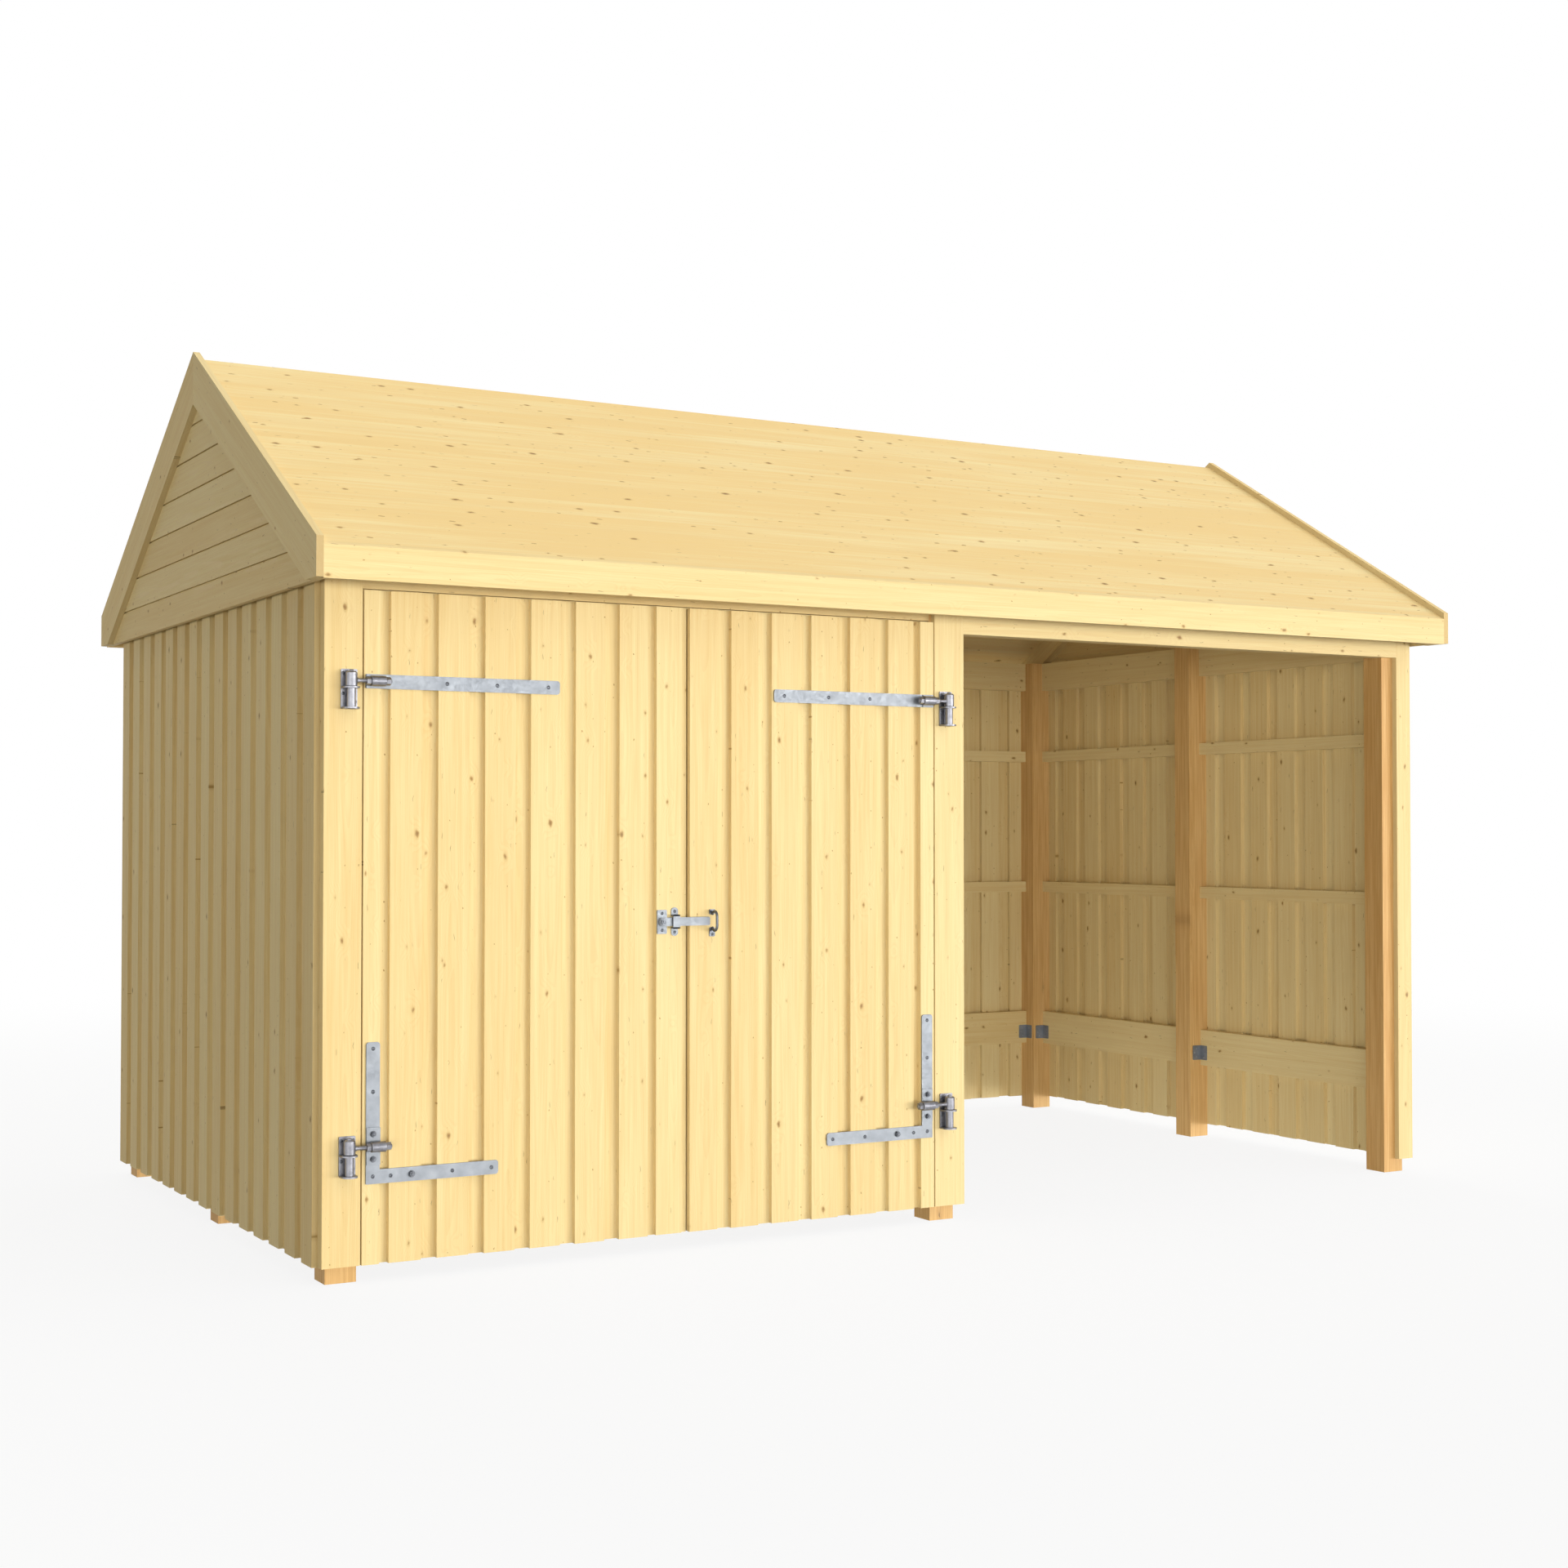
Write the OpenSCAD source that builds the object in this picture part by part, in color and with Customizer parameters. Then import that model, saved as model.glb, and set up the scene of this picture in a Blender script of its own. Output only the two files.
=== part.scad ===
// Open-front garden shed: a timber frame on eight posts with board-on-board walls,
// a saddle roof, a pair of boarded doors on pintle hinges and one open bay.
// Millimetres, +Z up, X along the front, the front faces -Y, the ground is Z = 0.

/* [Overall] */
// Length over the outer faces of the corner posts
wall_length = 4322; // [4150:2:4550]
// Depth over the outer faces of the corner posts
wall_depth = 2376; // [2200:2:2560]
// Height of posts, plates and wall boards
wall_top = 2130; // [2100:2:2220]
// Height of the lower edge of the wall boards above the ground
clad_base = 50; // [35:1:70]
// Side of the square posts
post = 95; // [90:1:100]

/* [Boards] */
// Width of a wall board
board_w = 100; // [95:1:106]
// Thickness of a wall board
board_t = 17; // [15:1:19]
// Wished gap between the outer boards of a wall
wall_gap = 64; // [52:1:66]

/* [Rails and plates] */
// Thickness of rails and plates
rail_t = 38; // [34:1:42]
// Height of the two slim rails
slim_rail_h = 50; // [44:1:56]
// Height of the wide lower rail
low_rail_h = 152; // [140:1:160]
// Height of the plates at the top of the walls
plate_h = 130; // [120:1:140]
// Underside of the lower rail above the ground
low_rail_z = 307; // [280:1:330]
// Underside of the middle rail above the ground
mid_rail_z = 1032; // [1000:1:1060]
// Underside of the upper rail above the ground
top_rail_z = 1657; // [1630:1:1690]
// Leg of the angle brackets on the lower rails
bracket_leg = 44; // [38:1:48]
// Height of the angle brackets
bracket_h = 62; // [54:1:70]

/* [Trims] */
// Width of the middle trim
middle_trim_w = 119; // [112:1:126]
// Width of the right trim
right_trim_w = 72; // [66:1:78]
// Thickness of the front plate behind the headers
front_plate_t = 45; // [40:1:50]

/* [Roof] */
// Slope of the roof in degrees
roof_pitch = 30; // [26:1:32]
// Overhang of the eaves past the posts
eave_out = 170; // [160:2:176]
// Overhang of the gables past the posts
gable_out = 89; // [86:1:100]
// Rise of the deck's eave edge over the wall top
eave_rise = 14; // [12:1:18]
// Thickness of the roof deck
deck_t = 19; // [17:1:22]
// Width of a barge board
barge_w = 155; // [145:1:165]
// Thickness of a barge board
barge_t = 22; // [20:1:26]
// Height that the barge boards stand over the deck
barge_up = 20; // [14:1:26]
// Height of the fascia boards
fascia_h = 98; // [92:1:98]
// Thickness of the fascia boards
fascia_t = 20; // [18:1:24]
// Thickness of the gable panels
panel_t = 20; // [18:1:22]
// Height of one board of a gable panel
panel_board_h = 112; // [104:1:120]
// Width of a rafter
rafter_t = 45; // [40:1:50]
// Height of a rafter across its slope
rafter_h = 95; // [85:1:105]

/* [Doors] */
// Drop of the doors' upper edge below the wall top
door_drop = 95; // [92:1:100]
// Width of the strip at the hinge edge of a leaf
edge_strip_w = 53; // [48:1:58]
// Gap beside the edge strip and beside the cover board
edge_gap = 29; // [25:1:33]
// Width of the cover board at the meeting line
cover_w = 90; // [84:1:96]
// Number of full boards on each leaf
leaf_boards = 6; // [6:1:7]
// Height of the ledges on the back of a leaf
ledge_h = 95; // [85:1:105]
// Thickness of the ledges and the brace
ledge_t = 22; // [18:1:26]

/* [Hinges and latch] */
// Distance from a leaf's edge to its hinge pin
pin_out = 47; // [44:1:50]
// Distance from the front face to the hinge pin
pin_stand = 25; // [24:1:28]
// Diameter of a hinge pin
pin_d = 14; // [12:1:15]
// Height of a strap
strap_w = 42; // [38:1:46]
// Thickness of the straps and plates
steel_t = 5; // [4:1:6]
// Length of the upper straps
strap_l = 622; // [580:2:650]
// Length of each arm of the lower straps
angle_l = 416; // [390:2:430]
// Height of the upper straps above the ground
strap_z = 1765; // [1740:1:1790]
// Height of the lower pins' eyes above the ground
lower_eye_z = 397; // [390:1:410]
// Height of the lower straps' bottom edge above the ground
angle_z = 286; // [270:1:300]
// Height of the latch bar above the ground
latch_z = 1036; // [1000:1:1080]
// Height of the latch bar itself
latch_bar_h = 27; // [24:1:30]
// Length of the latch bar
latch_bar_l = 182; // [170:1:186]

/* [Hidden] */
$fn = 48;
hw = wall_length / 2;
hd = wall_depth / 2;
trim_t = board_t + 5;
front_y = -hd - trim_t;
clad_t = 2 * board_t;
wall_h = wall_top - clad_base;
plate_z = wall_top - plate_h;

// Roof lines, as heights at a distance from the ridge
roof_hd = hd + eave_out;
roof_hl = hw + gable_out;
deck_hl = roof_hl - barge_t;
slope = tan(roof_pitch);
eave_z = wall_top + eave_rise;
ridge_z = eave_z + roof_hd * slope;
fascia_z = eave_z - fascia_h;
panel_z = fascia_z + 3;
deck_v = deck_t / cos(roof_pitch);
rafter_v = rafter_h / cos(roof_pitch);
function deck_top(y) = ridge_z - abs(y) * slope;
function deck_under(y) = deck_top(y) - deck_v;
fascia_back = roof_hd - fascia_t;
rafter_toe = min(fascia_back, (ridge_z - deck_v - wall_top) / slope - 2);
rafter_seat = (ridge_z - deck_v - rafter_v - wall_top) / slope;

// Door pair between the left and the middle post
door_gap = 5;
door_x0 = -hw + post + 9.5;
door_x1 = -post / 2 + 4;
door_mid = (door_x0 + door_x1) / 2;
leaf_half = (door_x1 - door_x0) / 2;
door_top = wall_top - door_drop;
door_h = door_top - clad_base;
first_board = edge_strip_w + edge_gap;
last_board = leaf_half - cover_w / 2 - edge_gap - board_w;
door_pitch = (last_board - first_board) / (leaf_boards - 1);
cover_u = leaf_half - cover_w / 2;
seam_u = 2 * leaf_half - last_board - board_w - 10;
ledge_u0 = 24;
upper_ledge_z = strap_z - ledge_h / 2;
lower_ledge_z = angle_z + strap_w / 2 - ledge_h / 2;

// Hinge pins and latch
left_pin_x = door_x0 - pin_out;
right_pin_x = door_x1 + pin_out;
pin_y = front_y - pin_stand;
eye_d = 34;
eye_up = 22;
eye_down = 18;
eye_bevel = 4;
pin_play = 0.5;
barrel_d = 29;
barrel_l = 37;
rod_d = 14;
nut_d = 28;
nut_l = 13;
saddle_t = 3;
arm_saddle_h = 110;
strap_u = 4;
angle_u = 10;
end_r = 9;
plate_w = 50;
plate_up = 34;
plate_down = 84;
lug_d = 46;
lug_t = 5;
lug_z = eye_down + pin_play + lug_t;
tube_d = 26;
latch_x = door_mid - 27;
latch_y = front_y - 5;
latch_bar_t = 6;
keeper_x = door_mid + 18.5;
staple_x = door_mid + 153.5;
staple_reach = 36;
staple_wire = 8.5;

timber_front = [0.98, 0.88, 0.62];
timber_roof = [0.93, 0.82, 0.57];
timber_post = [0.76, 0.56, 0.31];
timber_inside = [0.78, 0.66, 0.43];
steel = [0.65, 0.67, 0.70];

// Outer boards, as start and width, spread evenly from a to b
function spread(a, b) =
    let (n = round((b - a - board_w) / (board_w + wall_gap)), p = (b - a - board_w) / n)
    [for (i = [0:n]) [a + i * p, board_w]];
// Inner boards centred on the gaps between the outer boards
function behind(outer) =
    [for (i = [0:len(outer) - 2])
        [(outer[i][0] + outer[i][1] + outer[i + 1][0]) / 2 - board_w / 2, board_w]];

// Width of the inner board that ends a wall, clear of its neighbour
function end_w(outer) = (outer[1][0] - outer[0][0]) / 2 - board_t - 6;

// Section of two lapped layers of boards, the inner layer from v = 0 and the outer above it
module lapped_section(outer, inner) {
    polygon(concat(
        [for (b = outer) each [[b[0], board_t], [b[0], clad_t],
            [b[0] + b[1], clad_t], [b[0] + b[1], board_t]]],
        [for (i = [len(inner) - 1:-1:0]) let (b = inner[i]) each
            [[b[0] + b[1], board_t], [b[0] + b[1], 0], [b[0], 0], [b[0], board_t]]]));
}

// Upright prism of lapped boards along u, with v outward
module lapped_wall(outer, inner, h) {
    linear_extrude(height = h) lapped_section(outer, inner);
}

module post_at(x, y) {
    color(timber_post) translate([x - post / 2, y - post / 2, 0]) cube([post, post, wall_top]);
}
post_x = hw - post / 2;
post_y = hd - post / 2;
module front_left_post() { post_at(-post_x, -post_y); }
module front_middle_post() { post_at(0, -post_y); }
module front_right_post() { post_at(post_x, -post_y); }
module left_middle_post() { post_at(-post_x, 0); }
module right_middle_post() { post_at(post_x, 0); }
module back_left_post() { post_at(-post_x, post_y); }
module back_middle_post() { post_at(0, post_y); }
module back_right_post() { post_at(post_x, post_y); }

module gable_wall() {
    outer = spread(-hd + board_t - 0.5, hd + clad_t);
    e = end_w(outer);
    inner = concat([[-hd, e]], behind(outer), [[hd + board_t - e, e]]);
    color(timber_inside) translate([-hw, 0, clad_base]) rotate([0, 0, 90])
        lapped_wall(outer, inner, wall_h);
}
module left_gable_cladding() { gable_wall(); }
module right_gable_cladding() { mirror([1, 0, 0]) gable_wall(); }
module back_cladding() {
    outer = spread(-hw - board_t, hw + board_t);
    e = end_w(outer);
    inner = concat([[-hw, e]], behind(outer), [[hw - e, e]]);
    color(timber_inside) translate([0, hd, clad_base]) lapped_wall(outer, inner, wall_h);
}

// Lengths of board between the posts of a side wall or of the back wall
module side_pieces(z, h) {
    for (y = [-hd + post, post / 2])
        translate([-hw, y, z]) cube([rail_t, hd - 1.5 * post, h]);
}
module back_pieces(z, h) {
    for (x = [-hw + post, post / 2])
        translate([x, hd - rail_t, z]) cube([hw - 1.5 * post, rail_t, h]);
}
module side_rails() {
    color(timber_inside) {
        side_pieces(low_rail_z, low_rail_h);
        side_pieces(mid_rail_z, slim_rail_h);
        side_pieces(top_rail_z, slim_rail_h);
    }
}
module left_rails() { side_rails(); }
module right_rails() { mirror([1, 0, 0]) side_rails(); }
module back_rails() {
    color(timber_inside) {
        back_pieces(low_rail_z, low_rail_h);
        back_pieces(mid_rail_z, slim_rail_h);
        back_pieces(top_rail_z, slim_rail_h);
    }
}
module left_plates() { color(timber_inside) side_pieces(plate_z, plate_h); }
module right_plates() { color(timber_inside) mirror([1, 0, 0]) side_pieces(plate_z, plate_h); }
module back_plates() { color(timber_inside) back_pieces(plate_z, plate_h); }
module front_plates() {
    span = hw - 1.5 * post;
    color(timber_inside) {
        translate([-hw + post, -hd + trim_t, plate_z]) cube([span, front_plate_t, plate_h]);
        translate([post / 2, -hd, plate_z]) cube([span, front_plate_t, plate_h]);
    }
}

// Angle bracket in a corner that opens towards +X and +Y
module bracket() {
    drop = 21;
    translate([0, 0, low_rail_z + (low_rail_h - bracket_h) / 2 - drop])
        linear_extrude(height = bracket_h)
            polygon([[0, 0], [bracket_leg, 0], [bracket_leg, 2.5], [2.5, 2.5],
                [2.5, bracket_leg], [0, bracket_leg]]);
}
module corner_brackets() {
    for (y = [-hd + post, post / 2]) {
        translate([-hw + rail_t, y, 0]) bracket();
        translate([-hw + rail_t, y + hd - 1.5 * post, 0]) mirror([0, 1, 0]) bracket();
    }
    translate([-hw + post, hd - rail_t, 0]) mirror([0, 1, 0]) bracket();
    translate([-post / 2, hd - rail_t, 0]) mirror([1, 0, 0]) mirror([0, 1, 0]) bracket();
}
module rail_brackets() {
    color(steel) {
        corner_brackets();
        mirror([1, 0, 0]) corner_brackets();
    }
}

// Board on the front faces of the posts
module front_board(x0, x1, z0) {
    color(timber_front) translate([x0, front_y, z0]) cube([x1 - x0, trim_t, wall_top - z0]);
}
middle_trim_x1 = door_x1 + door_gap + middle_trim_w;
right_trim_x0 = hw + clad_t - right_trim_w;
module front_left_trim() { front_board(-hw - board_t + 0.5, door_x0 - door_gap, clad_base); }
module front_middle_trim() { front_board(door_x1 + door_gap, middle_trim_x1, clad_base); }
module front_right_trim() { front_board(right_trim_x0, hw + clad_t, clad_base); }
module bay_header() { front_board(middle_trim_x1, right_trim_x0, plate_z); }
module door_header() {
    z = door_top + door_gap + 1;
    color(timber_front) translate([-hw + post, -hd, z]) cube([hw - 1.5 * post, trim_t, wall_top - z]);
}

// Plate of a side section given in Y and Z, from x0 with thickness t
module side_section(x0, t, points) {
    translate([x0, 0, 0]) rotate([90, 0, 90]) linear_extrude(height = t) polygon(points);
}
module gable_panel() {
    groove = 6;
    depth = 9;
    first = panel_z + panel_board_h - 8;
    top = deck_under(0);
    edge = deck_under(fascia_back);
    color(timber_roof) difference() {
        side_section(-deck_hl, panel_t, [[-fascia_back, panel_z], [fascia_back, panel_z],
            [fascia_back, edge], [0, top], [-fascia_back, edge]]);
        for (z = [first:panel_board_h:top - 60])
            translate([-deck_hl - 1, -roof_hd, z]) cube([depth + 1, 2 * roof_hd, groove]);
    }
}
module left_gable_panel() { gable_panel(); }
module right_gable_panel() { mirror([1, 0, 0]) gable_panel(); }

rafter_x = [-deck_hl + panel_t, -hw / 2 - rafter_t / 2, -rafter_t / 2, hw / 2 - rafter_t / 2,
    deck_hl - panel_t - rafter_t];
module rafter_row() {
    color(timber_inside) for (x = rafter_x)
        side_section(x, rafter_t, [[-rafter_toe, wall_top], [-rafter_seat, wall_top],
            [0, deck_under(0) - rafter_v], [0, deck_under(0)],
            [-rafter_toe, deck_under(rafter_toe)]]);
}
module front_rafters() { rafter_row(); }
module back_rafters() { mirror([0, 1, 0]) rafter_row(); }
module deck_half() {
    color(timber_roof) side_section(-deck_hl, 2 * deck_hl, [[0, ridge_z], [0, ridge_z - deck_v],
        [-fascia_back, deck_under(fascia_back)], [-fascia_back, deck_top(fascia_back)]]);
}
module front_roof_deck() { deck_half(); }
module back_roof_deck() { mirror([0, 1, 0]) deck_half(); }

// One barge board: a plumb cut at the ridge and the eave, a level cut below
module barge() {
    up = barge_up / cos(roof_pitch);
    low = barge_w / cos(roof_pitch) - up;
    toe = (ridge_z - low - panel_z) / slope;
    color(timber_roof) side_section(-roof_hl, barge_t, [[0, ridge_z + up], [0, ridge_z - low],
        [-toe, panel_z], [-roof_hd, panel_z], [-roof_hd, eave_z + up]]);
}
module left_front_barge() { barge(); }
module left_back_barge() { mirror([0, 1, 0]) barge(); }
module right_front_barge() { mirror([1, 0, 0]) barge(); }
module right_back_barge() { mirror([1, 0, 0]) mirror([0, 1, 0]) barge(); }

module fascia() {
    color(timber_front) side_section(-deck_hl, 2 * deck_hl, [[-roof_hd, fascia_z],
        [-fascia_back, fascia_z], [-fascia_back, deck_top(fascia_back)], [-roof_hd, eave_z]]);
}
module front_fascia() { fascia(); }
module back_fascia() { mirror([0, 1, 0]) fascia(); }

// Leaf parts are drawn from the hinge edge at u = 0, and set against the left or the right post
module at_left_leaf() { translate([door_x0, 0, 0]) children(); }
module at_right_leaf() { translate([door_x1, 0, 0]) mirror([1, 0, 0]) children(); }
leaf_outer = concat([[0, edge_strip_w]],
    [for (i = [0:leaf_boards - 1]) [first_board + i * door_pitch, board_w]]);
leaf_inner = concat([[8, first_board + 20]],
    behind([for (i = [1:leaf_boards]) leaf_outer[i]]));
module leaf(outer, inner) {
    color(timber_front) translate([0, front_y + clad_t, clad_base]) mirror([0, 1, 0])
        lapped_wall(outer, inner, door_h);
}
module left_door_boards() {
    a = last_board + board_w - 25;
    b = cover_u + 20;
    at_left_leaf() leaf(concat(leaf_outer, [[cover_u, cover_w]]),
        concat(leaf_inner, [[a, b - a - 3], [b, seam_u - b]]));
}
module right_door_boards() {
    at_right_leaf() leaf(leaf_outer, concat(leaf_inner, [[last_board + 40, board_w - 41]]));
}

// Two ledges and a brace that rises from the lower hinge
module leaf_ledges(u1) {
    z0 = lower_ledge_z + ledge_h - 1;
    z1 = upper_ledge_z + 1;
    color(timber_inside) translate([0, front_y + clad_t + ledge_t, 0]) rotate([90, 0, 0])
        linear_extrude(height = ledge_t) {
            translate([ledge_u0, lower_ledge_z]) square([u1 - ledge_u0, ledge_h]);
            translate([ledge_u0, upper_ledge_z]) square([u1 - ledge_u0, ledge_h]);
            polygon([[ledge_u0 + 10, z0], [ledge_u0 + 125, z0], [u1 - 10, z1], [u1 - 125, z1]]);
        }
}
module left_door_ledges() { at_left_leaf() leaf_ledges(cover_u - 10); }
module right_door_ledges() { at_right_leaf() leaf_ledges(last_board + board_w - 20); }

// Eye on the pin, adjusting rod with two nuts, and the barrel on the strap's saddle, level with z
module strap_eye(u, z, saddle_h) {
    b = u + 8;
    rod_tail = 14;
    difference() {
        union() {
            translate([-pin_out, pin_y, z - eye_down]) cylinder(h = eye_down + eye_up, d = eye_d);
            translate([-pin_out, pin_y, z + eye_up])
                cylinder(h = eye_bevel, d1 = eye_d, d2 = eye_d - 2 * eye_bevel);
            translate([-pin_out + 10, pin_y, z]) rotate([0, 90, 0])
                cylinder(h = pin_out - 10 + b + barrel_l + nut_l + rod_tail, d = rod_d);
            for (n = [b - nut_l - 1, b + barrel_l + 1]) translate([n, pin_y, z]) rotate([0, 90, 0])
                cylinder(h = nut_l, d = nut_d, $fn = 6);
            translate([b, pin_y, z]) rotate([0, 90, 0]) cylinder(h = barrel_l, d = barrel_d);
            translate([b, pin_y, z - barrel_d / 3])
                cube([barrel_l, pin_stand - steel_t - saddle_t + 1, 2 * barrel_d / 3]);
            translate([b - 7, front_y - steel_t - saddle_t, z - saddle_h / 2])
                cube([barrel_l + 5, saddle_t + 1, saddle_h]);
        }
        translate([-pin_out, pin_y, z - eye_d]) cylinder(h = 2 * eye_d, d = pin_d + 2 * pin_play);
    }
}
// Outline of a flat bar with rounded corners at its far end
module bar_outline(l) {
    square([l - end_r, strap_w]);
    translate([0, end_r]) square([l, strap_w - 2 * end_r]);
    for (v = [end_r, strap_w - end_r]) translate([l - end_r, v]) circle(r = end_r);
}
module on_front(u, z) {
    translate([u, front_y, z]) rotate([90, 0, 0]) linear_extrude(height = steel_t) children();
}
module leaf_straps() {
    color(steel) {
        union() {
            on_front(strap_u, strap_z - strap_w / 2) bar_outline(strap_l);
            strap_eye(strap_u, strap_z, strap_w);
        }
        union() {
            on_front(angle_u, angle_z) {
                bar_outline(angle_l);
                rotate(90) mirror([0, 1]) bar_outline(angle_l);
            }
            strap_eye(angle_u, lower_eye_z, arm_saddle_h);
        }
    }
}
module left_hinge_straps() { at_left_leaf() leaf_straps(); }
module right_hinge_straps() { at_right_leaf() leaf_straps(); }

// Plate with two round lugs, the tube between them and the pin that stands through the eye
module pintle(x, z) {
    translate([x - plate_w / 2, front_y - steel_t, z - plate_down])
        cube([plate_w, steel_t, plate_up + plate_down]);
    for (h = [plate_down, lug_z]) translate([x, pin_y, z - h]) {
        translate([-lug_d / 2, 0, 0]) cube([lug_d, pin_stand - steel_t + 1, lug_t]);
        cylinder(h = lug_t, d = lug_d);
    }
    translate([x, pin_y, z - plate_down]) {
        cylinder(h = plate_down - lug_z + 1, d = tube_d);
        cylinder(h = plate_down + eye_up + eye_bevel + 3, d = pin_d);
    }
    translate([x, pin_y, z + eye_up + eye_bevel + 3]) cylinder(h = 3, d1 = pin_d, d2 = pin_d - 6);
}
module left_hinge_pintles() {
    color(steel) { pintle(left_pin_x, strap_z); pintle(left_pin_x, lower_eye_z); }
}
module right_hinge_pintles() {
    color(steel) { pintle(right_pin_x, strap_z); pintle(right_pin_x, lower_eye_z); }
}

// Flat plate with round ends on the front face, standing out from y
module round_plate(x, y, w, h, t) {
    translate([x, y, latch_z]) rotate([90, 0, 0]) linear_extrude(height = t) {
        square([w, h - w], center = true);
        for (s = [-1, 1]) translate([0, s * (h - w) / 2]) circle(d = w);
    }
}
// Back plate and keeper: the bar slides between them
module latch_guides() {
    inside = latch_bar_h + 8;
    color(steel) {
        translate([latch_x - 17, latch_y, latch_z - 38]) cube([34, front_y - latch_y, 76]);
        difference() {
            round_plate(keeper_x, front_y, 24, 90, 18);
            translate([keeper_x - 20, latch_y - latch_bar_t - 4, latch_z - inside / 2])
                cube([40, 20, inside]);
            for (s = [-1, 1]) translate([keeper_x - 20, front_y - 20, latch_z + s * 40 - 18])
                cube([40, 17, 36]);
        }
    }
}
module latch_bar() {
    color(steel) {
        translate([latch_x, latch_y - latch_bar_t, latch_z - latch_bar_h / 2])
            cube([latch_bar_l - latch_bar_h / 2, latch_bar_t, latch_bar_h]);
        translate([latch_x, latch_y, latch_z]) rotate([90, 0, 0])
            cylinder(h = latch_bar_t, d = latch_bar_h);
        translate([latch_x, latch_y, latch_z]) rotate([90, 0, 0]) cylinder(h = 16, d = 24);
    }
}
// Staple on the right leaf that takes the end of the bar: a bent wire on two pads
module latch_staple() {
    h = 70;
    bend = 17;
    leg_z = (h - staple_wire) / 2;
    color(steel) {
        for (pad = [[-50, 29], [21, 16]])
            translate([staple_x - 10, front_y - 3, latch_z + pad[0]]) cube([20, 3, pad[1]]);
        translate([staple_x, front_y, latch_z]) {
            for (m = [0, 1]) mirror([0, 0, m]) {
                translate([0, -1, leg_z]) rotate([90, 0, 0])
                    cylinder(h = staple_reach - bend - 1, d = staple_wire);
                translate([0, -staple_reach + bend, leg_z - bend]) rotate([90, 0, -90])
                    rotate_extrude(angle = 90) translate([bend, 0]) circle(d = staple_wire);
            }
            translate([0, -staple_reach, bend - leg_z]) cylinder(h = 2 * (leg_z - bend), d = staple_wire);
        }
    }
}

front_left_post();
front_middle_post();
front_right_post();
left_middle_post();
right_middle_post();
back_left_post();
back_middle_post();
back_right_post();
left_gable_cladding();
right_gable_cladding();
back_cladding();
left_rails();
right_rails();
back_rails();
left_plates();
right_plates();
back_plates();
front_plates();
rail_brackets();
front_left_trim();
front_middle_trim();
front_right_trim();
bay_header();
door_header();
left_gable_panel();
right_gable_panel();
front_rafters();
back_rafters();
front_roof_deck();
back_roof_deck();
left_front_barge();
left_back_barge();
right_front_barge();
right_back_barge();
front_fascia();
back_fascia();
left_door_boards();
right_door_boards();
left_door_ledges();
right_door_ledges();
left_hinge_straps();
right_hinge_straps();
left_hinge_pintles();
right_hinge_pintles();
latch_guides();
latch_bar();
latch_staple();
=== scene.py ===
"""Looks of an open-front garden shed: planed boards, larch posts and galvanised door hardware.

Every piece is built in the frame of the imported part, in metres, and rides on one of its bodies.
"""

import logging
import math
import random
from collections.abc import Iterable, Sequence
from dataclasses import dataclass, field, replace
from enum import Enum
from functools import partial

import bmesh
import bpy
from mathutils import Matrix, Vector


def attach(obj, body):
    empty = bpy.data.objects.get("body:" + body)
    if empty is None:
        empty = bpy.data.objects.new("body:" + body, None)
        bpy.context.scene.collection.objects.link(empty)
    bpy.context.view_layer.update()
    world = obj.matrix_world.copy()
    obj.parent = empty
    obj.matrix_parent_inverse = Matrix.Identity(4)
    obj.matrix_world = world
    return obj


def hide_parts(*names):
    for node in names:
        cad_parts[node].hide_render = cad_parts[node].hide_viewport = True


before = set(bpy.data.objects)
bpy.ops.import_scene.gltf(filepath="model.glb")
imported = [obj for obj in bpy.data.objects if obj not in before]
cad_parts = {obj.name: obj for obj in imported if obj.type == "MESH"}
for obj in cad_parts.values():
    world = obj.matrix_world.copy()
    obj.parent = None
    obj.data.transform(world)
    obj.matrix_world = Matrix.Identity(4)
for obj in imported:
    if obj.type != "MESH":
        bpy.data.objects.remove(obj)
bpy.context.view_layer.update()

LOG = logging.getLogger("garden_shed")
MM = 0.001
Point = tuple[float, float]
Span = tuple[float, float]
# Directions along a board's grain and across its face, in s, n and t
UPRIGHT = ((0, 0, 1), (1, 0, 0))
LEVEL = ((1, 0, 0), (0, 0, 1))


class Body(Enum):
    """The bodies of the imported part."""

    SHED = "shed"
    LEFT_DOOR = "left_door"
    RIGHT_DOOR = "right_door"
    LATCH = "latch"


class Slot(Enum):
    """The material slots of the record."""

    PALE = "pale_timber"
    POST = "post_timber"
    STEEL = "galvanised_steel"


class Side(Enum):
    """The left or the right half of the shed, as the sign of X."""

    LEFT = -1
    RIGHT = 1


class Slope(Enum):
    """The front or the back slope of the roof, as the sign of Y."""

    FRONT = -1
    BACK = 1


class Axis(Enum):
    """The local axis that a part is turned about, as the order of its turned coordinates."""

    S = (2, 0, 1)
    N = (1, 2, 0)
    T = (0, 1, 2)


# Materials


def linear(code: str) -> tuple[float, float, float, float]:
    """Turn an sRGB hex colour to linear light.

    Args:
        code: Six hex digits after a hash sign.

    Returns:
        Red, green, blue and an alpha of one.
    """
    parts = [int(code[i : i + 2], 16) / 255 for i in (1, 3, 5)]
    light = [p / 12.92 if p <= 0.04045 else ((p + 0.055) / 1.055) ** 2.4 for p in parts]
    return (light[0], light[1], light[2], 1.0)


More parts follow.
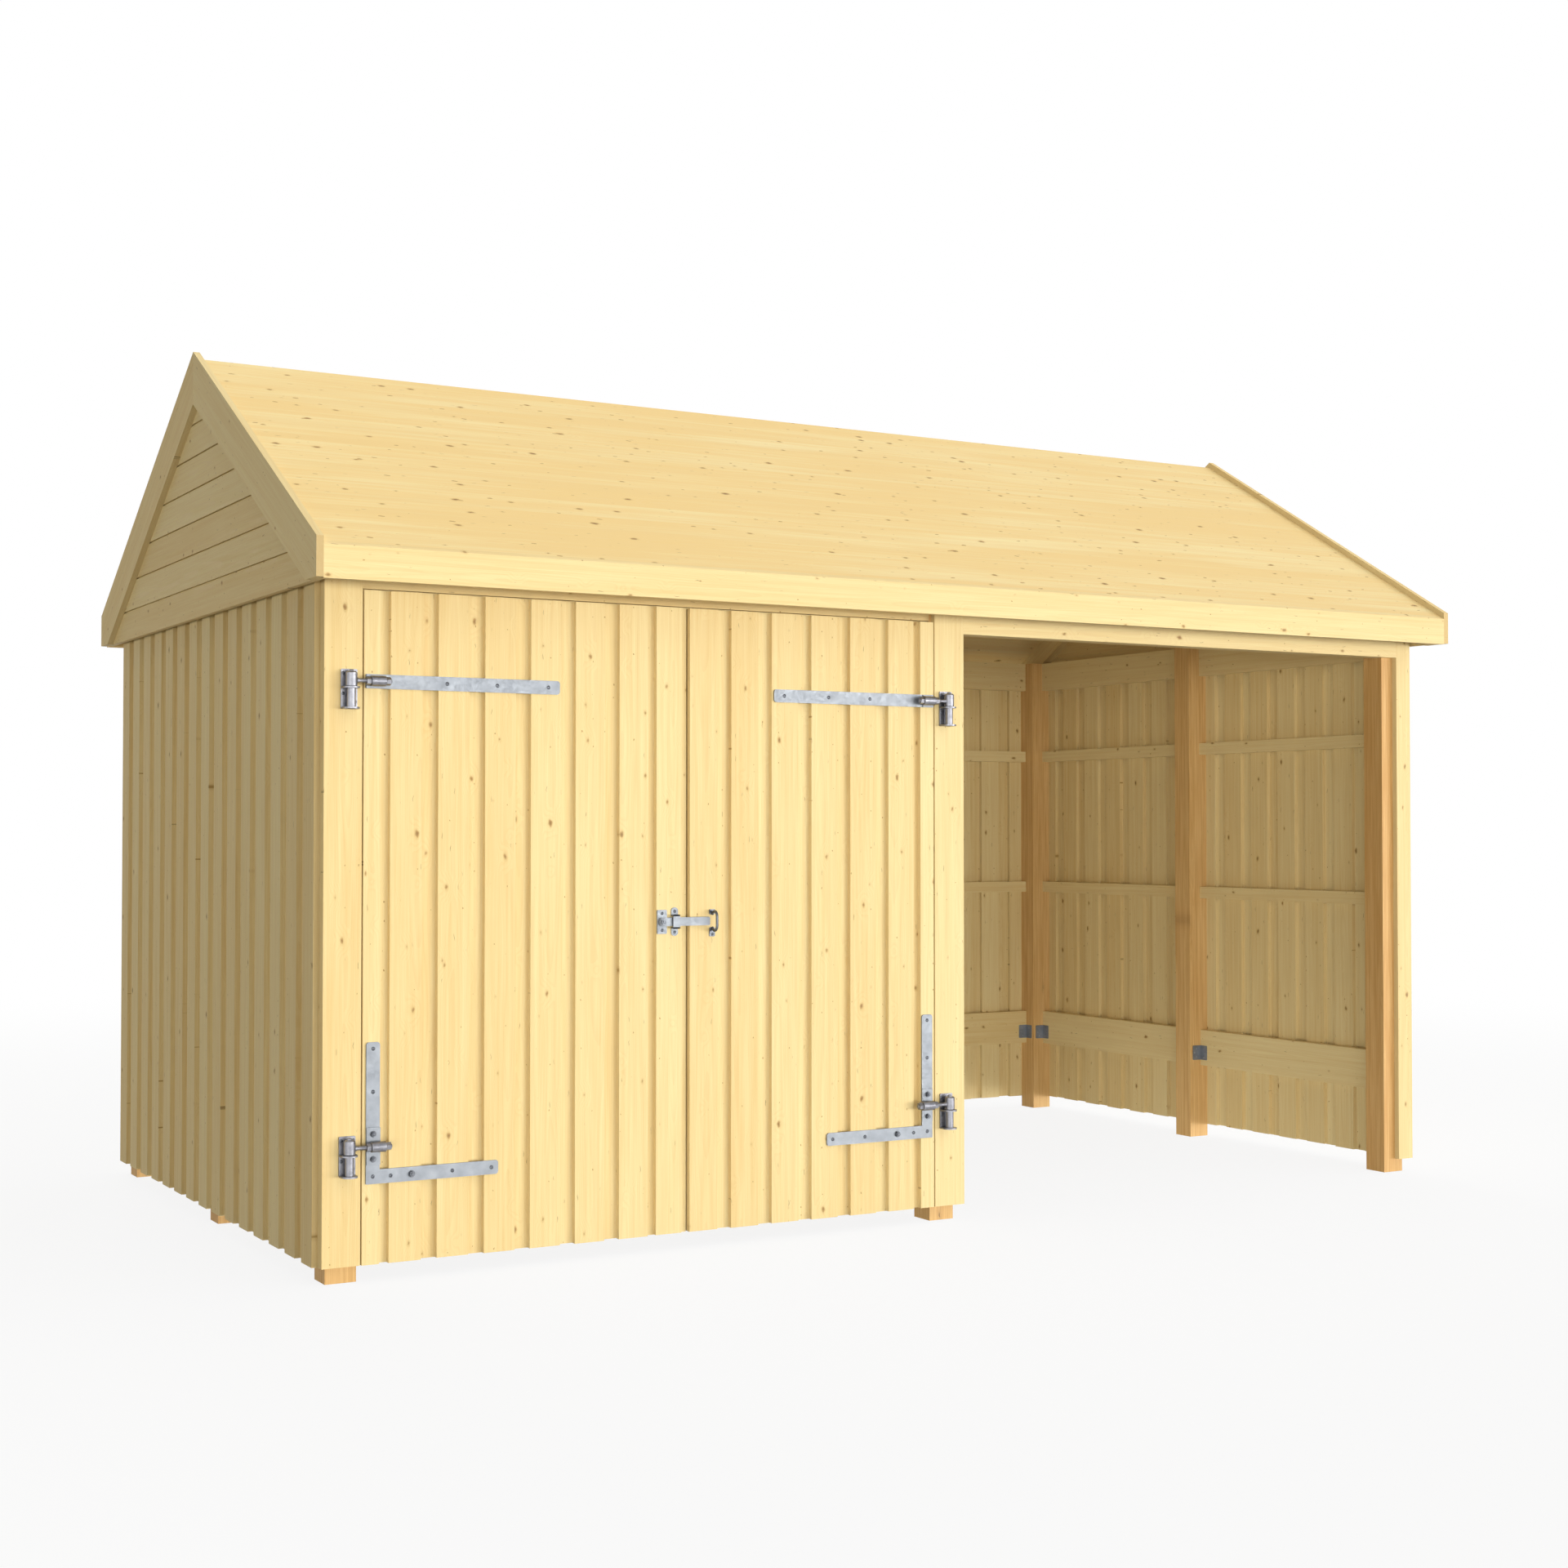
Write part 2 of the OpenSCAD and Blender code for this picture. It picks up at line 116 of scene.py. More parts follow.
def add_node(
    tree: bpy.types.NodeTree, kind: str, inputs: dict | None = None, **settings: object
) -> bpy.types.Node:
    """Add a node with its settings and links.

    Args:
        tree: The node tree that takes the node.
        kind: The node's type name, without the common prefix.
        inputs: Values, sockets or nodes by input name or number; a node gives its first output.
        settings: Properties of the node.

    Returns:
        The new node.
    """
    node = tree.nodes.new("ShaderNode" + kind)
    for key, value in settings.items():
        setattr(node, key, value)
    for key, value in (inputs or {}).items():
        if isinstance(value, bpy.types.Node):
            value = value.outputs[0]
        if isinstance(value, bpy.types.NodeSocket):
            tree.links.new(value, node.inputs[key])
        else:
            node.inputs[key].default_value = value
    return node


def new_tree(name: str) -> tuple[bpy.types.Material, bpy.types.NodeTree]:
    """Make an empty node material.

    Args:
        name: The material's name.

    Returns:
        The material and its cleared node tree.
    """
    material = bpy.data.materials.new(name)
    material.use_nodes = True
    material.node_tree.nodes.clear()
    return material, material.node_tree


@dataclass(frozen=True)
class Marks:
    """One kind of dark mark in the wood, spread as one chance in each cell of the board's face.

    Attributes:
        cell_mm: Cell size across and along the grain.
        reach: Largest half width of a mark, as a share of its cell.
        share: Share of the cells that hold a mark.
        edge: Softness of the mark's rim, as a share of its cell.
        strength: How far the mark covers the wood.
    """

    cell_mm: Point
    reach: float
    share: float
    edge: float
    strength: float


@dataclass(frozen=True)
class Timber:
    """Planed softwood: growth rings cut at a shallow angle, soft streaks along the grain and knots.

    Each board carries its own grain coordinates, measured from the pith of its log.

    Attributes:
        name: The material's name.
        early: Colour of the pale wood at a growth ring's start.
        late: Colour of the darker wood at its end.
        knot: Colour of knots and flecks.
        core: Colour of a knot's core and of resin.
        end: Colour of sawn end grain.
        ring_mm: Width of a growth ring.
        streak_mm: Width of a streak.
        contrast: How far a streak darkens the wood.
        roughness: Middle roughness of the planed face.
        knots: Knots with a soft rim and a dark core.
        flecks: Small flecks.
        resin: Short resin lines.
        board_tone: How far one board differs from another.
        patches: How far broad patches darken the wood.
        ring_tone: How far the end of a growth ring darkens the wood.
        sawn: How far end grain takes its own colour.
        bounce: Share of the colour that light from board to board loses.
        wave_mm: Width of the waves in a knot's rim.
        wander_mm: How far the rim wanders across and along the grain.
    """

    name: str
    early: str
    late: str
    knot: str
    core: str
    end: str
    ring_mm: float
    streak_mm: float
    contrast: float
    roughness: float
    knots: Marks
    flecks: Marks
    resin: Marks
    board_tone: float = 0.20
    patches: float = 0.30
    ring_tone: float = 0.20
    sawn: float = 0.75
    bounce: float = 0.5
    wave_mm: float = 20.0
    wander_mm: Point = (10.0, 11.0)

    def margin(
        self, tree: bpy.types.NodeTree, face: bpy.types.Node, marks: Marks
    ) -> bpy.types.Node:
        """Build the distance inside a mark's rim, below zero outside it.

        Args:
            tree: The material's node tree.
            face: Grain coordinates as across and along.
            marks: The kind of mark.

        Returns:
            The node that gives the distance.
        """
        node = partial(add_node, tree)
        scale = (1 / (marks.cell_mm[0] * MM), 1 / (marks.cell_mm[1] * MM), 1.0)
        spread = node("Mapping", {"Vector": face, "Scale": scale})
        cells = node("TexVoronoi", {"Vector": spread, "Scale": 1.0}, voronoi_dimensions="2D")
        chance = node("SeparateColor", {0: cells.outputs["Color"]})
        lowest = -marks.reach * (1 - marks.share) / marks.share
        size = node("MapRange", {0: chance, 3: lowest, 4: marks.reach})
        return node("Math", {0: size, 1: cells.outputs["Distance"]}, operation="SUBTRACT")

    def build(self) -> bpy.types.Material:
        """Make the node material.

        Returns:
            The material.
        """
        material, tree = new_tree(self.name)
        node = partial(add_node, tree)
        smooth = {"interpolation_type": "SMOOTHSTEP"}
        grain = node("Attribute", attribute_name="grain").outputs["Vector"]
        tone = node("Attribute", attribute_name="tone").outputs["Fac"]
        ends = node("Attribute", attribute_name="end_grain").outputs["Fac"]
        axes = node("SeparateXYZ", {0: grain})
        face = node("CombineXYZ", {0: axes.outputs[0], 1: axes.outputs[2]})
        # The rims of knots wander by a few millimetres
        wave = node("TexNoise", {"Vector": face, "Scale": 1 / (self.wave_mm * MM), "Detail": 2.0})
        wander = {0: wave.outputs["Color"], 1: (*(w * MM for w in self.wander_mm), 0.0), 2: face}
        face = node("VectorMath", wander, operation="MULTIPLY_ADD")

        # Streaks run about forty times as far along the grain as across it, patches nine times
        wide = 1 / (self.streak_mm * MM)
        narrow = node("Mapping", {"Vector": grain, "Scale": (wide, wide, wide / 40)})
        streak = node("TexNoise", {"Vector": narrow, "Scale": 1.0, "Detail": 5.0, "Roughness": 0.6})
        broad = node("Mapping", {"Vector": grain, "Scale": (wide / 7, wide / 7, wide / 60)})
        drift = node("TexNoise", {"Vector": broad, "Scale": 1.0, "Detail": 1.0})

        # Growth rings lie round the pith, drift a little and bend round the knots
        section = node("CombineXYZ", {0: axes.outputs[0], 1: axes.outputs[1]})
        pith = node("VectorMath", {0: section}, operation="LENGTH").outputs["Value"]
        knot = self.margin(tree, face, self.knots)
        swirl = node("MapRange", {0: knot, 1: -0.30, 2: 0.0, 3: 0.0, 4: 2.2}, **smooth)
        bend = node("Math", {0: drift, 1: 7.0, 2: swirl}, operation="MULTIPLY_ADD")
        count = {0: pith, 1: 1 / (self.ring_mm * MM), 2: bend}
        turn = node("Math", count, operation="MULTIPLY_ADD")
        # A growth ring darkens slowly and ends at a sharp line
        age = node("Math", {0: turn}, operation="FRACT")
        ring = node("MapRange", {0: age, 1: 0.35, 2: 0.95}, **smooth)

        shade = node("MapRange", {0: streak, 1: 0.3, 2: 0.7, 3: 0.0, 4: self.contrast})
        for part, gain in ((ring, self.ring_tone), (tone, self.board_tone), (drift, self.patches)):
            shade = node("Math", {0: part, 1: gain, 2: shade}, operation="MULTIPLY_ADD")
        wood = {0: shade, 6: linear(self.early), 7: linear(self.late)}
        colour = node("Mix", wood, data_type="RGBA").outputs[2]
        # Dark marks lie over the wood: inside a mark from low to high, its colour comes up
        fleck = self.margin(tree, face, self.flecks)
        line = self.margin(tree, face, self.resin)
        edge, reach = self.knots.edge, self.knots.reach
        layers = (
            (knot, -0.06, 0.0, 0.25, self.knot),
            (knot, -edge, edge, self.knots.strength, self.knot),
            (knot, 0.2 * reach, 0.7 * reach, 0.75, self.core),
            (fleck, 0.0, self.flecks.edge, self.flecks.strength, self.knot),
            (line, 0.0, self.resin.edge, self.resin.strength, self.core),
        )
        for inside, low, high, strength, code in layers:
            cover = node("MapRange", {0: inside, 1: low, 2: high, 3: 0.0, 4: strength}, **smooth)
            marked = {0: cover, 6: colour, 7: linear(code)}
            colour = node("Mix", marked, data_type="RGBA").outputs[2]
        sawn = node("Math", {0: ends, 1: self.sawn}, operation="MULTIPLY")
        cut = {0: sawn, 6: colour, 7: linear(self.end)}
        colour = node("Mix", cut, data_type="RGBA").outputs[2]
        # Light that bounces from board to board keeps half of their colour, so grooves stay olive
        bounced = node("LightPath").outputs["Is Diffuse Ray"]
        share = node("Math", {0: bounced, 1: self.bounce}, operation="MULTIPLY")
        grey = node("RGBToBW", {0: colour})
        colour = node("Mix", {0: share, 6: colour, 7: grey}, data_type="RGBA").outputs[2]

        # Late wood stands a little proud and shines a little more
        height = node("Math", {0: streak, 1: 0.8, 2: ring}, operation="MULTIPLY_ADD")
        bump = node("Bump", {"Strength": 0.35, "Distance": 0.4 * MM, "Height": height})
        dull = node("MapRange", {0: ring, 3: self.roughness + 0.05, 4: self.roughness - 0.07})
        surface = node(
            "BsdfPrincipled",
            {"Base Color": colour, "Roughness": dull, "IOR": 1.5, "Normal": bump},
        )
        node("OutputMaterial", {0: surface})
        return material


@dataclass(frozen=True)
class Zinc:
    """Hot-dip galvanised steel: a dull grey coat of zinc crystals with soft cloudy patches.

    Attributes:
        name: The material's name.
        pale: Colour of the palest zinc.
        dark: Colour of the darkest zinc.
        crystal_mm: Width of a crystal.
        cloud_mm: Width of a cloudy patch.
        roughness: Middle roughness.
        clouds: How far the patches change the colour.
        facets: How far the crystals change the colour.
    """

    name: str
    pale: str
    dark: str
    crystal_mm: float
    cloud_mm: float
    roughness: float
    clouds: float = 0.75
    facets: float = 0.35

    def build(self) -> bpy.types.Material:
        """Make the node material.

        Returns:
            The material.
        """
        material, tree = new_tree(self.name)
        node = partial(add_node, tree)
        place = node("TexCoord").outputs["Object"]
        crystal = node("TexVoronoi", {"Vector": place, "Scale": 1 / (self.crystal_mm * MM)})
        facet = node("SeparateColor", {0: crystal.outputs["Color"]})
        cloud = node(
            "TexNoise", {"Vector": place, "Scale": 1 / (self.cloud_mm * MM), "Detail": 3.0}
        )
        shade = node("MapRange", {0: cloud, 1: 0.3, 2: 0.7, 3: 0.0, 4: self.clouds})
        shade = node("Math", {0: facet, 1: self.facets, 2: shade}, operation="MULTIPLY_ADD")
        coat = {0: shade, 6: linear(self.dark), 7: linear(self.pale)}
        colour = node("Mix", coat, data_type="RGBA").outputs[2]
        dull = node("MapRange", {0: facet, 3: self.roughness - 0.07, 4: self.roughness + 0.1})
        bump = node("Bump", {"Strength": 0.15, "Distance": 0.3 * MM, "Height": cloud})
        surface = node(
            "BsdfPrincipled",
            {"Base Color": colour, "Metallic": 1.0, "Roughness": dull, "Normal": bump},
        )
        node("OutputMaterial", {0: surface})
        return material


# Planed spruce, kiln dried: pale cream yellow with faint streaks, small brown knots and short resin
# lines. Rings of 1 to 2 mm are too fine to show in the render, so they are drawn at 3.4 mm.
SPRUCE = Timber(
    name="planed_spruce",
    early="#FBE4A6",
    late="#EBC983",
    knot="#BC924F",
    core="#8A6532",
    end="#D9B777",
    ring_mm=3.4,
    streak_mm=11.0,
    contrast=0.55,
    roughness=0.62,
    knots=Marks((100.0, 172.0), 0.060, 0.40, 0.012, 0.85),
    flecks=Marks((40.0, 64.0), 0.062, 0.28, 0.022, 0.90),
    resin=Marks((13.0, 150.0), 0.095, 0.20, 0.050, 0.70),
)
# Planed roof boards of the same spruce: larger knots, and broad pale and tan patches
ROOF_SPRUCE = replace(
    SPRUCE,
    name="planed_roof_spruce",
    early="#FFF0B6",
    late="#F6D48C",
    streak_mm=16.0,
    contrast=0.45,
    knots=Marks((105.0, 190.0), 0.075, 0.55, 0.012, 0.90),
    flecks=Marks((42.0, 130.0), 0.095, 0.32, 0.025, 0.95),
    board_tone=0.06,
    patches=1.20,
)
# Planed larch posts: orange brown heartwood with clear straight grain and hardly a knot. Rings of
# about 1 mm are drawn at 2.6 mm, so that they show.
LARCH = Timber(
    name="planed_larch",
    early="#F7CE88",
    late="#D9A45B",
    knot="#A36E36",
    core="#6E451F",
    end="#CF9B58",
    ring_mm=2.6,
    streak_mm=7.0,
    contrast=0.9,
    roughness=0.58,
    knots=Marks((180.0, 700.0), 0.03, 0.10, 0.008, 0.2),
    flecks=Marks((50.0, 200.0), 0.03, 0.08, 0.020, 0.5),
    resin=Marks((14.0, 500.0), 0.07, 0.20, 0.050, 0.4),
)
# The zinc's crystals are 1 to 2 mm wide and too fine to show, so they are drawn at 4 to 7 mm.
# Galvanised straps and plates: pale blue grey, dull, with soft clouds and small crystals
STRAP_ZINC = Zinc("galvanised_strap_steel", "#979B9F", "#7F8388", 7.0, 45.0, 0.55)
# Galvanised forged parts: a darker, faintly violet grey with a soft shine on the round faces
FORGED_ZINC = Zinc("galvanised_forged_steel", "#97979C", "#77777D", 5.0, 20.0, 0.40)
# Zinc-plated screws and nuts, tumbled: dark grey heads that stand out from the straps
SCREW_ZINC = Zinc("zinc_plated_screw_steel", "#74777C", "#54575C", 4.0, 9.0, 0.40)


# Meshes


def frame_of(origin: Sequence[float], s: Sequence[float], n: Sequence[float]) -> Matrix:
    """Build a place for a flat outline, which is drawn along s and t and has its depth along n.

    Args:
        origin: The place's origin in millimetres.
        s: Unit direction of the outline's first coordinate.
        n: Unit direction of the depth.

    Returns:
        A matrix from local millimetres (s, n, t) to metres, with t up.
    """
    t = Vector((0, 0, 1)) if abs(n[2]) < 0.5 else Vector((0, 1, 0))
    columns = Matrix((Vector(s), Vector(n), t)).transposed() * MM
    return Matrix.Translation(Vector(origin) * MM) @ columns.to_4x4()


def box(s0: float, s1: float, t0: float, t1: float) -> list[Point]:
    """Return the outline of a rectangle from s0, t0 to s1, t1."""
    return [(s0, t0), (s1, t0), (s1, t1), (s0, t1)]


class MeshStack:
    """Closed solids of one piece, gathered as one mesh."""

    # Edges that turn by more than this, in radians, are rounded
    CORNER = 0.5

    def __init__(self) -> None:
        """Start with no solids."""
        self.points: list[Vector] = []
        self.faces: list[list[int]] = []

    def take(self, shape: bmesh.types.BMesh, place: Matrix) -> None:
        """Add a solid and free its mesh.

        Args:
            shape: The solid in local millimetres.
            place: The matrix to metres.
        """
        start = len(self.points)
        shape.verts.index_update()
        mirrored = place.determinant() < 0
        self.points += [place @ v.co for v in shape.verts]
        for face in shape.faces:
            loop = [start + v.index for v in face.verts]
            self.faces.append(loop[::-1] if mirrored else loop)
        shape.free()

    def prism(self, outline: Sequence[Point], depth: Span, bevel: float) -> bmesh.types.BMesh:
        """Draw an outline to a depth and round all its edges.

        Args:
            outline: Corners along s and t.
            depth: First and last n.
            bevel: Radius of the edges.

        Returns:
            The solid in local millimetres.
        """
        shape = bmesh.new()
        low = [shape.verts.new((s, depth[0], t)) for s, t in outline]
        high = [shape.verts.new((s, depth[1], t)) for s, t in outline]
        shape.faces.new(low)
        shape.faces.new(high[::-1])
        for i, start in enumerate(low):
            j = (i + 1) % len(low)
            shape.faces.new((start, high[i], high[j], low[j]))
        if bevel > 0:
            sharp = [e for e in shape.edges if e.calc_face_angle(0.0) > self.CORNER]
            bmesh.ops.bevel(
                shape, geom=sharp, offset=bevel, segments=2, profile=0.5, affect="EDGES",
                clamp_overlap=True,
            )
        bmesh.ops.recalc_face_normals(shape, faces=shape.faces)
        return shape

    def mesh(self, name: str) -> bpy.types.Mesh:
        """Make the mesh of all solids.

        Args:
            name: The mesh's name.

        Returns:
            The mesh.
        """
        made = bpy.data.meshes.new(name)
        made.from_pydata(self.points, [], self.faces)
        made.update()
        return made

    def place(self, name: str, material: bpy.types.Material, body: Body, slot: Slot,
              nodes: Iterable[str]) -> bpy.types.Object:
        """Make the piece, dress it and let it ride on its body.

        Args:
            name: The piece's name.
            material: The finish.
            body: The body that carries it.
            slot: The record's material slot; not used.
            nodes: The nodes that it stands for.

        Returns:
            The piece.
        """
        piece = bpy.data.objects.new(name, self.mesh(name))
        piece.data.materials.append(material)
        bpy.context.scene.collection.objects.link(piece)
        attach(piece, body.value)
        nodes = list(nodes)
        if nodes:
            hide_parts(*nodes)
        LOG.info("%s rides on %s with %d faces", name, body.value, len(self.faces))
        return piece


class PlankStack(MeshStack):
    """Boards of one piece; each keeps where its wood lay in the log."""

    # Where the pith may lie from a board's middle, and how far along the log a board may start
    PITH_ACROSS = (-40.0, 40.0)
    PITH_BELOW = (14.0, 75.0)
    LOG_LENGTH = 60000.0
    # A face that leans toward the grain by more than this share is sawn end grain
    END_FACE = 0.6

    def __init__(self, seed: int) -> None:
        """Start with no boards.

        Args:
            seed: Seed of the boards' own grain and tone.
        """
        super().__init__()
        self.random = random.Random(seed)
        self.grain: list[Vector] = []
        self.tone: list[float] = []
        self.ends: list[float] = []

    def board(self, outline: Sequence[Point], depth: Span, place: Matrix,
              along: Sequence[float] = UPRIGHT[0], across: Sequence[float] = UPRIGHT[1],
              bevel: float = 1.6) -> None:
        """Add one board.

        Args:
            outline: Corners along s and t in millimetres.
            depth: First and last n.
            place: The matrix from s, n, t to metres.
            along: Direction of the grain in s, n, t.
            across: Direction across the board's face in s, n, t.
            bevel: Radius of the arrises.
        """
        shape = self.prism(outline, depth, bevel)
        grow, wide = Vector(along).normalized(), Vector(across).normalized()
        deep = grow.cross(wide)
        middle = sum((v.co for v in shape.verts), Vector()) / len(shape.verts)
        sideways, below = (self.random.uniform(*r) for r in (self.PITH_ACROSS, self.PITH_BELOW))
        pith = Vector((sideways, below, 0))
        start = self.random.uniform(0, self.LOG_LENGTH)
        tone = self.random.uniform(-1, 1)
        for v in shape.verts:
            p = v.co - middle
            spot = Vector((p.dot(wide), p.dot(deep), p.dot(grow) + start)) + pith
            self.grain.append(spot * MM)
            self.tone.append(tone)
        self.ends += [float(abs(f.normal.dot(grow)) > self.END_FACE) for f in shape.faces]
        self.take(shape, place)

    def mesh(self, name: str) -> bpy.types.Mesh:
        """Make the mesh with the boards' grain on it.

        Args:
            name: The mesh's name.

        Returns:
            The mesh.
        """
        made = super().mesh(name)
        flat = [x for spot in self.grain for x in spot]
        made.attributes.new("grain", "FLOAT_VECTOR", "POINT").data.foreach_set("vector", flat)
        made.attributes.new("tone", "FLOAT", "POINT").data.foreach_set("value", self.tone)
        made.attributes.new("end_grain", "FLOAT", "FACE").data.foreach_set("value", self.ends)
        return made


class SteelStack(MeshStack):
    """Plates, turned parts and bent wire of one piece of hardware."""

    # Edges that turn by more than this stay crisp
    SHARP = math.radians(35)

    def plate(self, outline: Sequence[Point], depth: Span, place: Matrix,
              bevel: float = 0.9) -> None:
        """Add a flat plate.

        Args:
            outline: Corners along s and t in millimetres.
            depth: First and last n.
            place: The matrix from s, n, t to metres.
            bevel: Radius of the edges.
        """
        self.take(self.prism(outline, depth, bevel), place)

    def turned(self, profile: Sequence[Point], place: Matrix, axis: Axis = Axis.T,
               steps: int = 32) -> None:
        """Add a turned part.

        Args:
            profile: Radius and height from the lower to the upper pole; both ends have radius zero.
            place: The matrix from s, n, t to metres.
            axis: The local axis that it is turned about.
            steps: Number of sides.
        """
        shape = bmesh.new()
        rings = []
        for radius, height in profile:
            ring = []
            for i in range(steps if radius > 0 else 1):
                turn = 2 * math.pi * i / steps
                raw = (radius * math.cos(turn), radius * math.sin(turn), height)
                ring.append(shape.verts.new([raw[k] for k in axis.value]))
            rings.append(ring)
        for low, high in zip(rings, rings[1:]):
            for i in range(steps):
                spots = [(low, i), (low, i + 1), (high, i + 1), (high, i)]
                loop = [ring[k % steps % len(ring)] for ring, k in spots]
                shape.faces.new(list(dict.fromkeys(loop)))
        bmesh.ops.recalc_face_normals(shape, faces=shape.faces)
        self.take(shape, place)

    def wire(self, path: Sequence[Vector], radius: float, place: Matrix, steps: int = 16) -> None:
        """Add a bent wire with flat ends.

        Args:
            path: Points of its centre line in local millimetres, in one plane of constant s.
            radius: The wire's radius.
            place: The matrix from s, n, t to metres.
            steps: Number of sides.
        """
        shape = bmesh.new()
        rings = []
        side = Vector((1, 0, 0))
        turns = [2 * math.pi * k / steps for k in range(steps)]
        for i, point in enumerate(path):
            ahead = path[min(i + 1, len(path) - 1)] - path[max(i - 1, 0)]
            up = ahead.normalized().cross(side)
            rings.append([
                shape.verts.new(point + radius * (math.cos(a) * side + math.sin(a) * up))
                for a in turns
            ])
        for low, high in zip(rings, rings[1:]):
            for k in range(steps):
                j = (k + 1) % steps
                shape.faces.new((low[k], low[j], high[j], high[k]))
        shape.faces.new(rings[0][::-1])
        shape.faces.new(rings[-1])
        bmesh.ops.recalc_face_normals(shape, faces=shape.faces)
        self.take(shape, place)

    def screw(self, s: float, n: float, t: float, place: Matrix, radius: float = 6.0) -> None:
        """Add the head of a wood screw with a drive recess, standing out along n.

        Args:
            s: Place along s.
            n: The surface that it sits on.
            t: Place along t.
            place: The matrix from s, n, t to metres.
            radius: Radius of the head.
        """
        at = place @ Matrix.Translation((s, n, t))
        drive = 0.42 * radius
        self.turned(
            [(0, 0.6), (0.7 * drive, 0.6), (drive, 2.1), (0.75 * radius, 1.7), (radius, 0.5),
             (radius, -0.5), (0, -0.5)],
            at, Axis.N, steps=20,
        )

    def bolt(self, s: float, n: float, t: float, place: Matrix, across: float = 17.0) -> None:
        """Add a washer, a hexagon nut and the end of its bolt, standing out along n.

        Args:
            s: Place along s.
            n: The surface that it sits on.
            t: Place along t.
            place: The matrix from s, n, t to metres.
            across: Width of the nut over its corners.
        """
        at = place @ Matrix.Translation((s, n, t))
        rim, tip = 0.62 * across, 0.28 * across
        washer = [(0, -0.5), (rim, -0.5), (rim, 1.2), (rim - 0.6, 1.8), (0, 1.8)]
        self.turned(washer, at, Axis.N, steps=24)
        self.plate(hexagon(across, turn=0.2), (1.6, 8.0), at, bevel=0.8)
        bolt_end = [(0, 1.0), (tip, 1.0), (tip, 10.0), (tip - 1, 11.0), (0, 11.0)]
        self.turned(bolt_end, at, Axis.N, steps=16)

    def mesh(self, name: str) -> bpy.types.Mesh:
        """Make the mesh with round faces smooth and edges crisp.

        Args:
            name: The mesh's name.

        Returns:
            The mesh.
        """
        made = super().mesh(name)
        made.polygons.foreach_set("use_smooth", [len(f) <= 4 for f in self.faces])
        made.set_sharp_from_angle(angle=self.SHARP)
        return made


def hexagon(corners: float, turn: float = 0.0) -> list[Point]:
    """Return the outline of a hexagon by its width over corners and its turn in radians."""
    angles = [turn + math.pi * k / 3 for k in range(6)]
    return [(corners / 2 * math.cos(a), corners / 2 * math.sin(a)) for a in angles]


def rounded(s0: float, s1: float, t0: float, t1: float, radii: Sequence[float]) -> list[Point]:
    """Draw a rectangle with rounded corners.

    Args:
        s0: Lowest s.
        s1: Highest s.
        t0: Lowest t.
        t1: Highest t.
        radii: Radius of the corners at s0 t0, s1 t0, s1 t1 and s0 t1.

    Returns:
        The outline.
    """
    corners = ((s0, t0, 1, 1), (s1, t0, -1, 1), (s1, t1, -1, -1), (s0, t1, 1, -1))
    outline: list[Point] = []
    for quarter, ((s, t, ds, dt), r) in enumerate(zip(corners, radii)):
        if r <= 0:
            outline.append((s, t))
            continue
        for k in range(7):
            a = math.pi * (1 + quarter / 2 + k / 12)
            outline.append((s + ds * r + r * math.cos(a), t + dt * r + r * math.sin(a)))
    return outline


# Sub-assemblies


@dataclass(frozen=True)
class ShedSizes:
    """Main sizes of the shed in millimetres."""

    wall_length: float = 4322.0
    wall_depth: float = 2376.0
    wall_top: float = 2130.0
    base: float = 50.0
    post: float = 95.0
    board_w: float = 100.0
    board_t: float = 17.0
    wall_gap: float = 64.0
    trim_t: float = 22.0
    plate_h: float = 130.0
    trim_joint: float = 0.5
    end_room: float = 6.0

    @property
    def half_l(self) -> float:
        """Half of the length over the posts."""
        return self.wall_length / 2

    @property
    def half_d(self) -> float:
        """Half of the depth over the posts."""
        return self.wall_depth / 2

    @property
    def front(self) -> float:
        """Y of the front faces of the trims and the doors."""
        return -self.half_d - self.trim_t

    @property
    def plate_z(self) -> float:
        """Underside of the plates."""
        return self.wall_top - self.plate_h

    def behind(self, outer: Sequence[Span]) -> list[Span]:
        """Centre inner boards on the gaps of the outer ones.

        Args:
            outer: Start and width of each outer board.

        Returns:
            Start and width of each inner board.
        """
        return [
            ((a[0] + a[1] + b[0]) / 2 - self.board_w / 2, self.board_w)
            for a, b in zip(outer, outer[1:])
        ]


@dataclass
class PostFrame:
    """Eight square posts that stand on the ground."""

    sizes: ShedSizes
    bevel: float = 3.0
    seed: int = 11

    def build(self, finish: bpy.types.Material) -> None:
        """Build and dress the posts.

        Args:
            finish: The posts' timber.
        """
        half = self.sizes.post / 2
        x, y = self.sizes.half_l - half, self.sizes.half_d - half
        places = {
            "front_left_post": (-x, -y), "front_middle_post": (0, -y), "front_right_post": (x, -y),
            "left_middle_post": (-x, 0), "right_middle_post": (x, 0), "back_left_post": (-x, y),
            "back_middle_post": (0, y), "back_right_post": (x, y),
        }
        for number, (node, (px, py)) in enumerate(places.items()):
            stack = PlankStack(self.seed + number)
            place = frame_of((px, py, 0), (1, 0, 0), (0, 1, 0))
            outline = box(-half, half, 0, self.sizes.wall_top)
            stack.board(outline, (-half, half), place, bevel=self.bevel)
            stack.place(node.replace("post", "larch_post"), finish, Body.SHED, Slot.POST, [node])


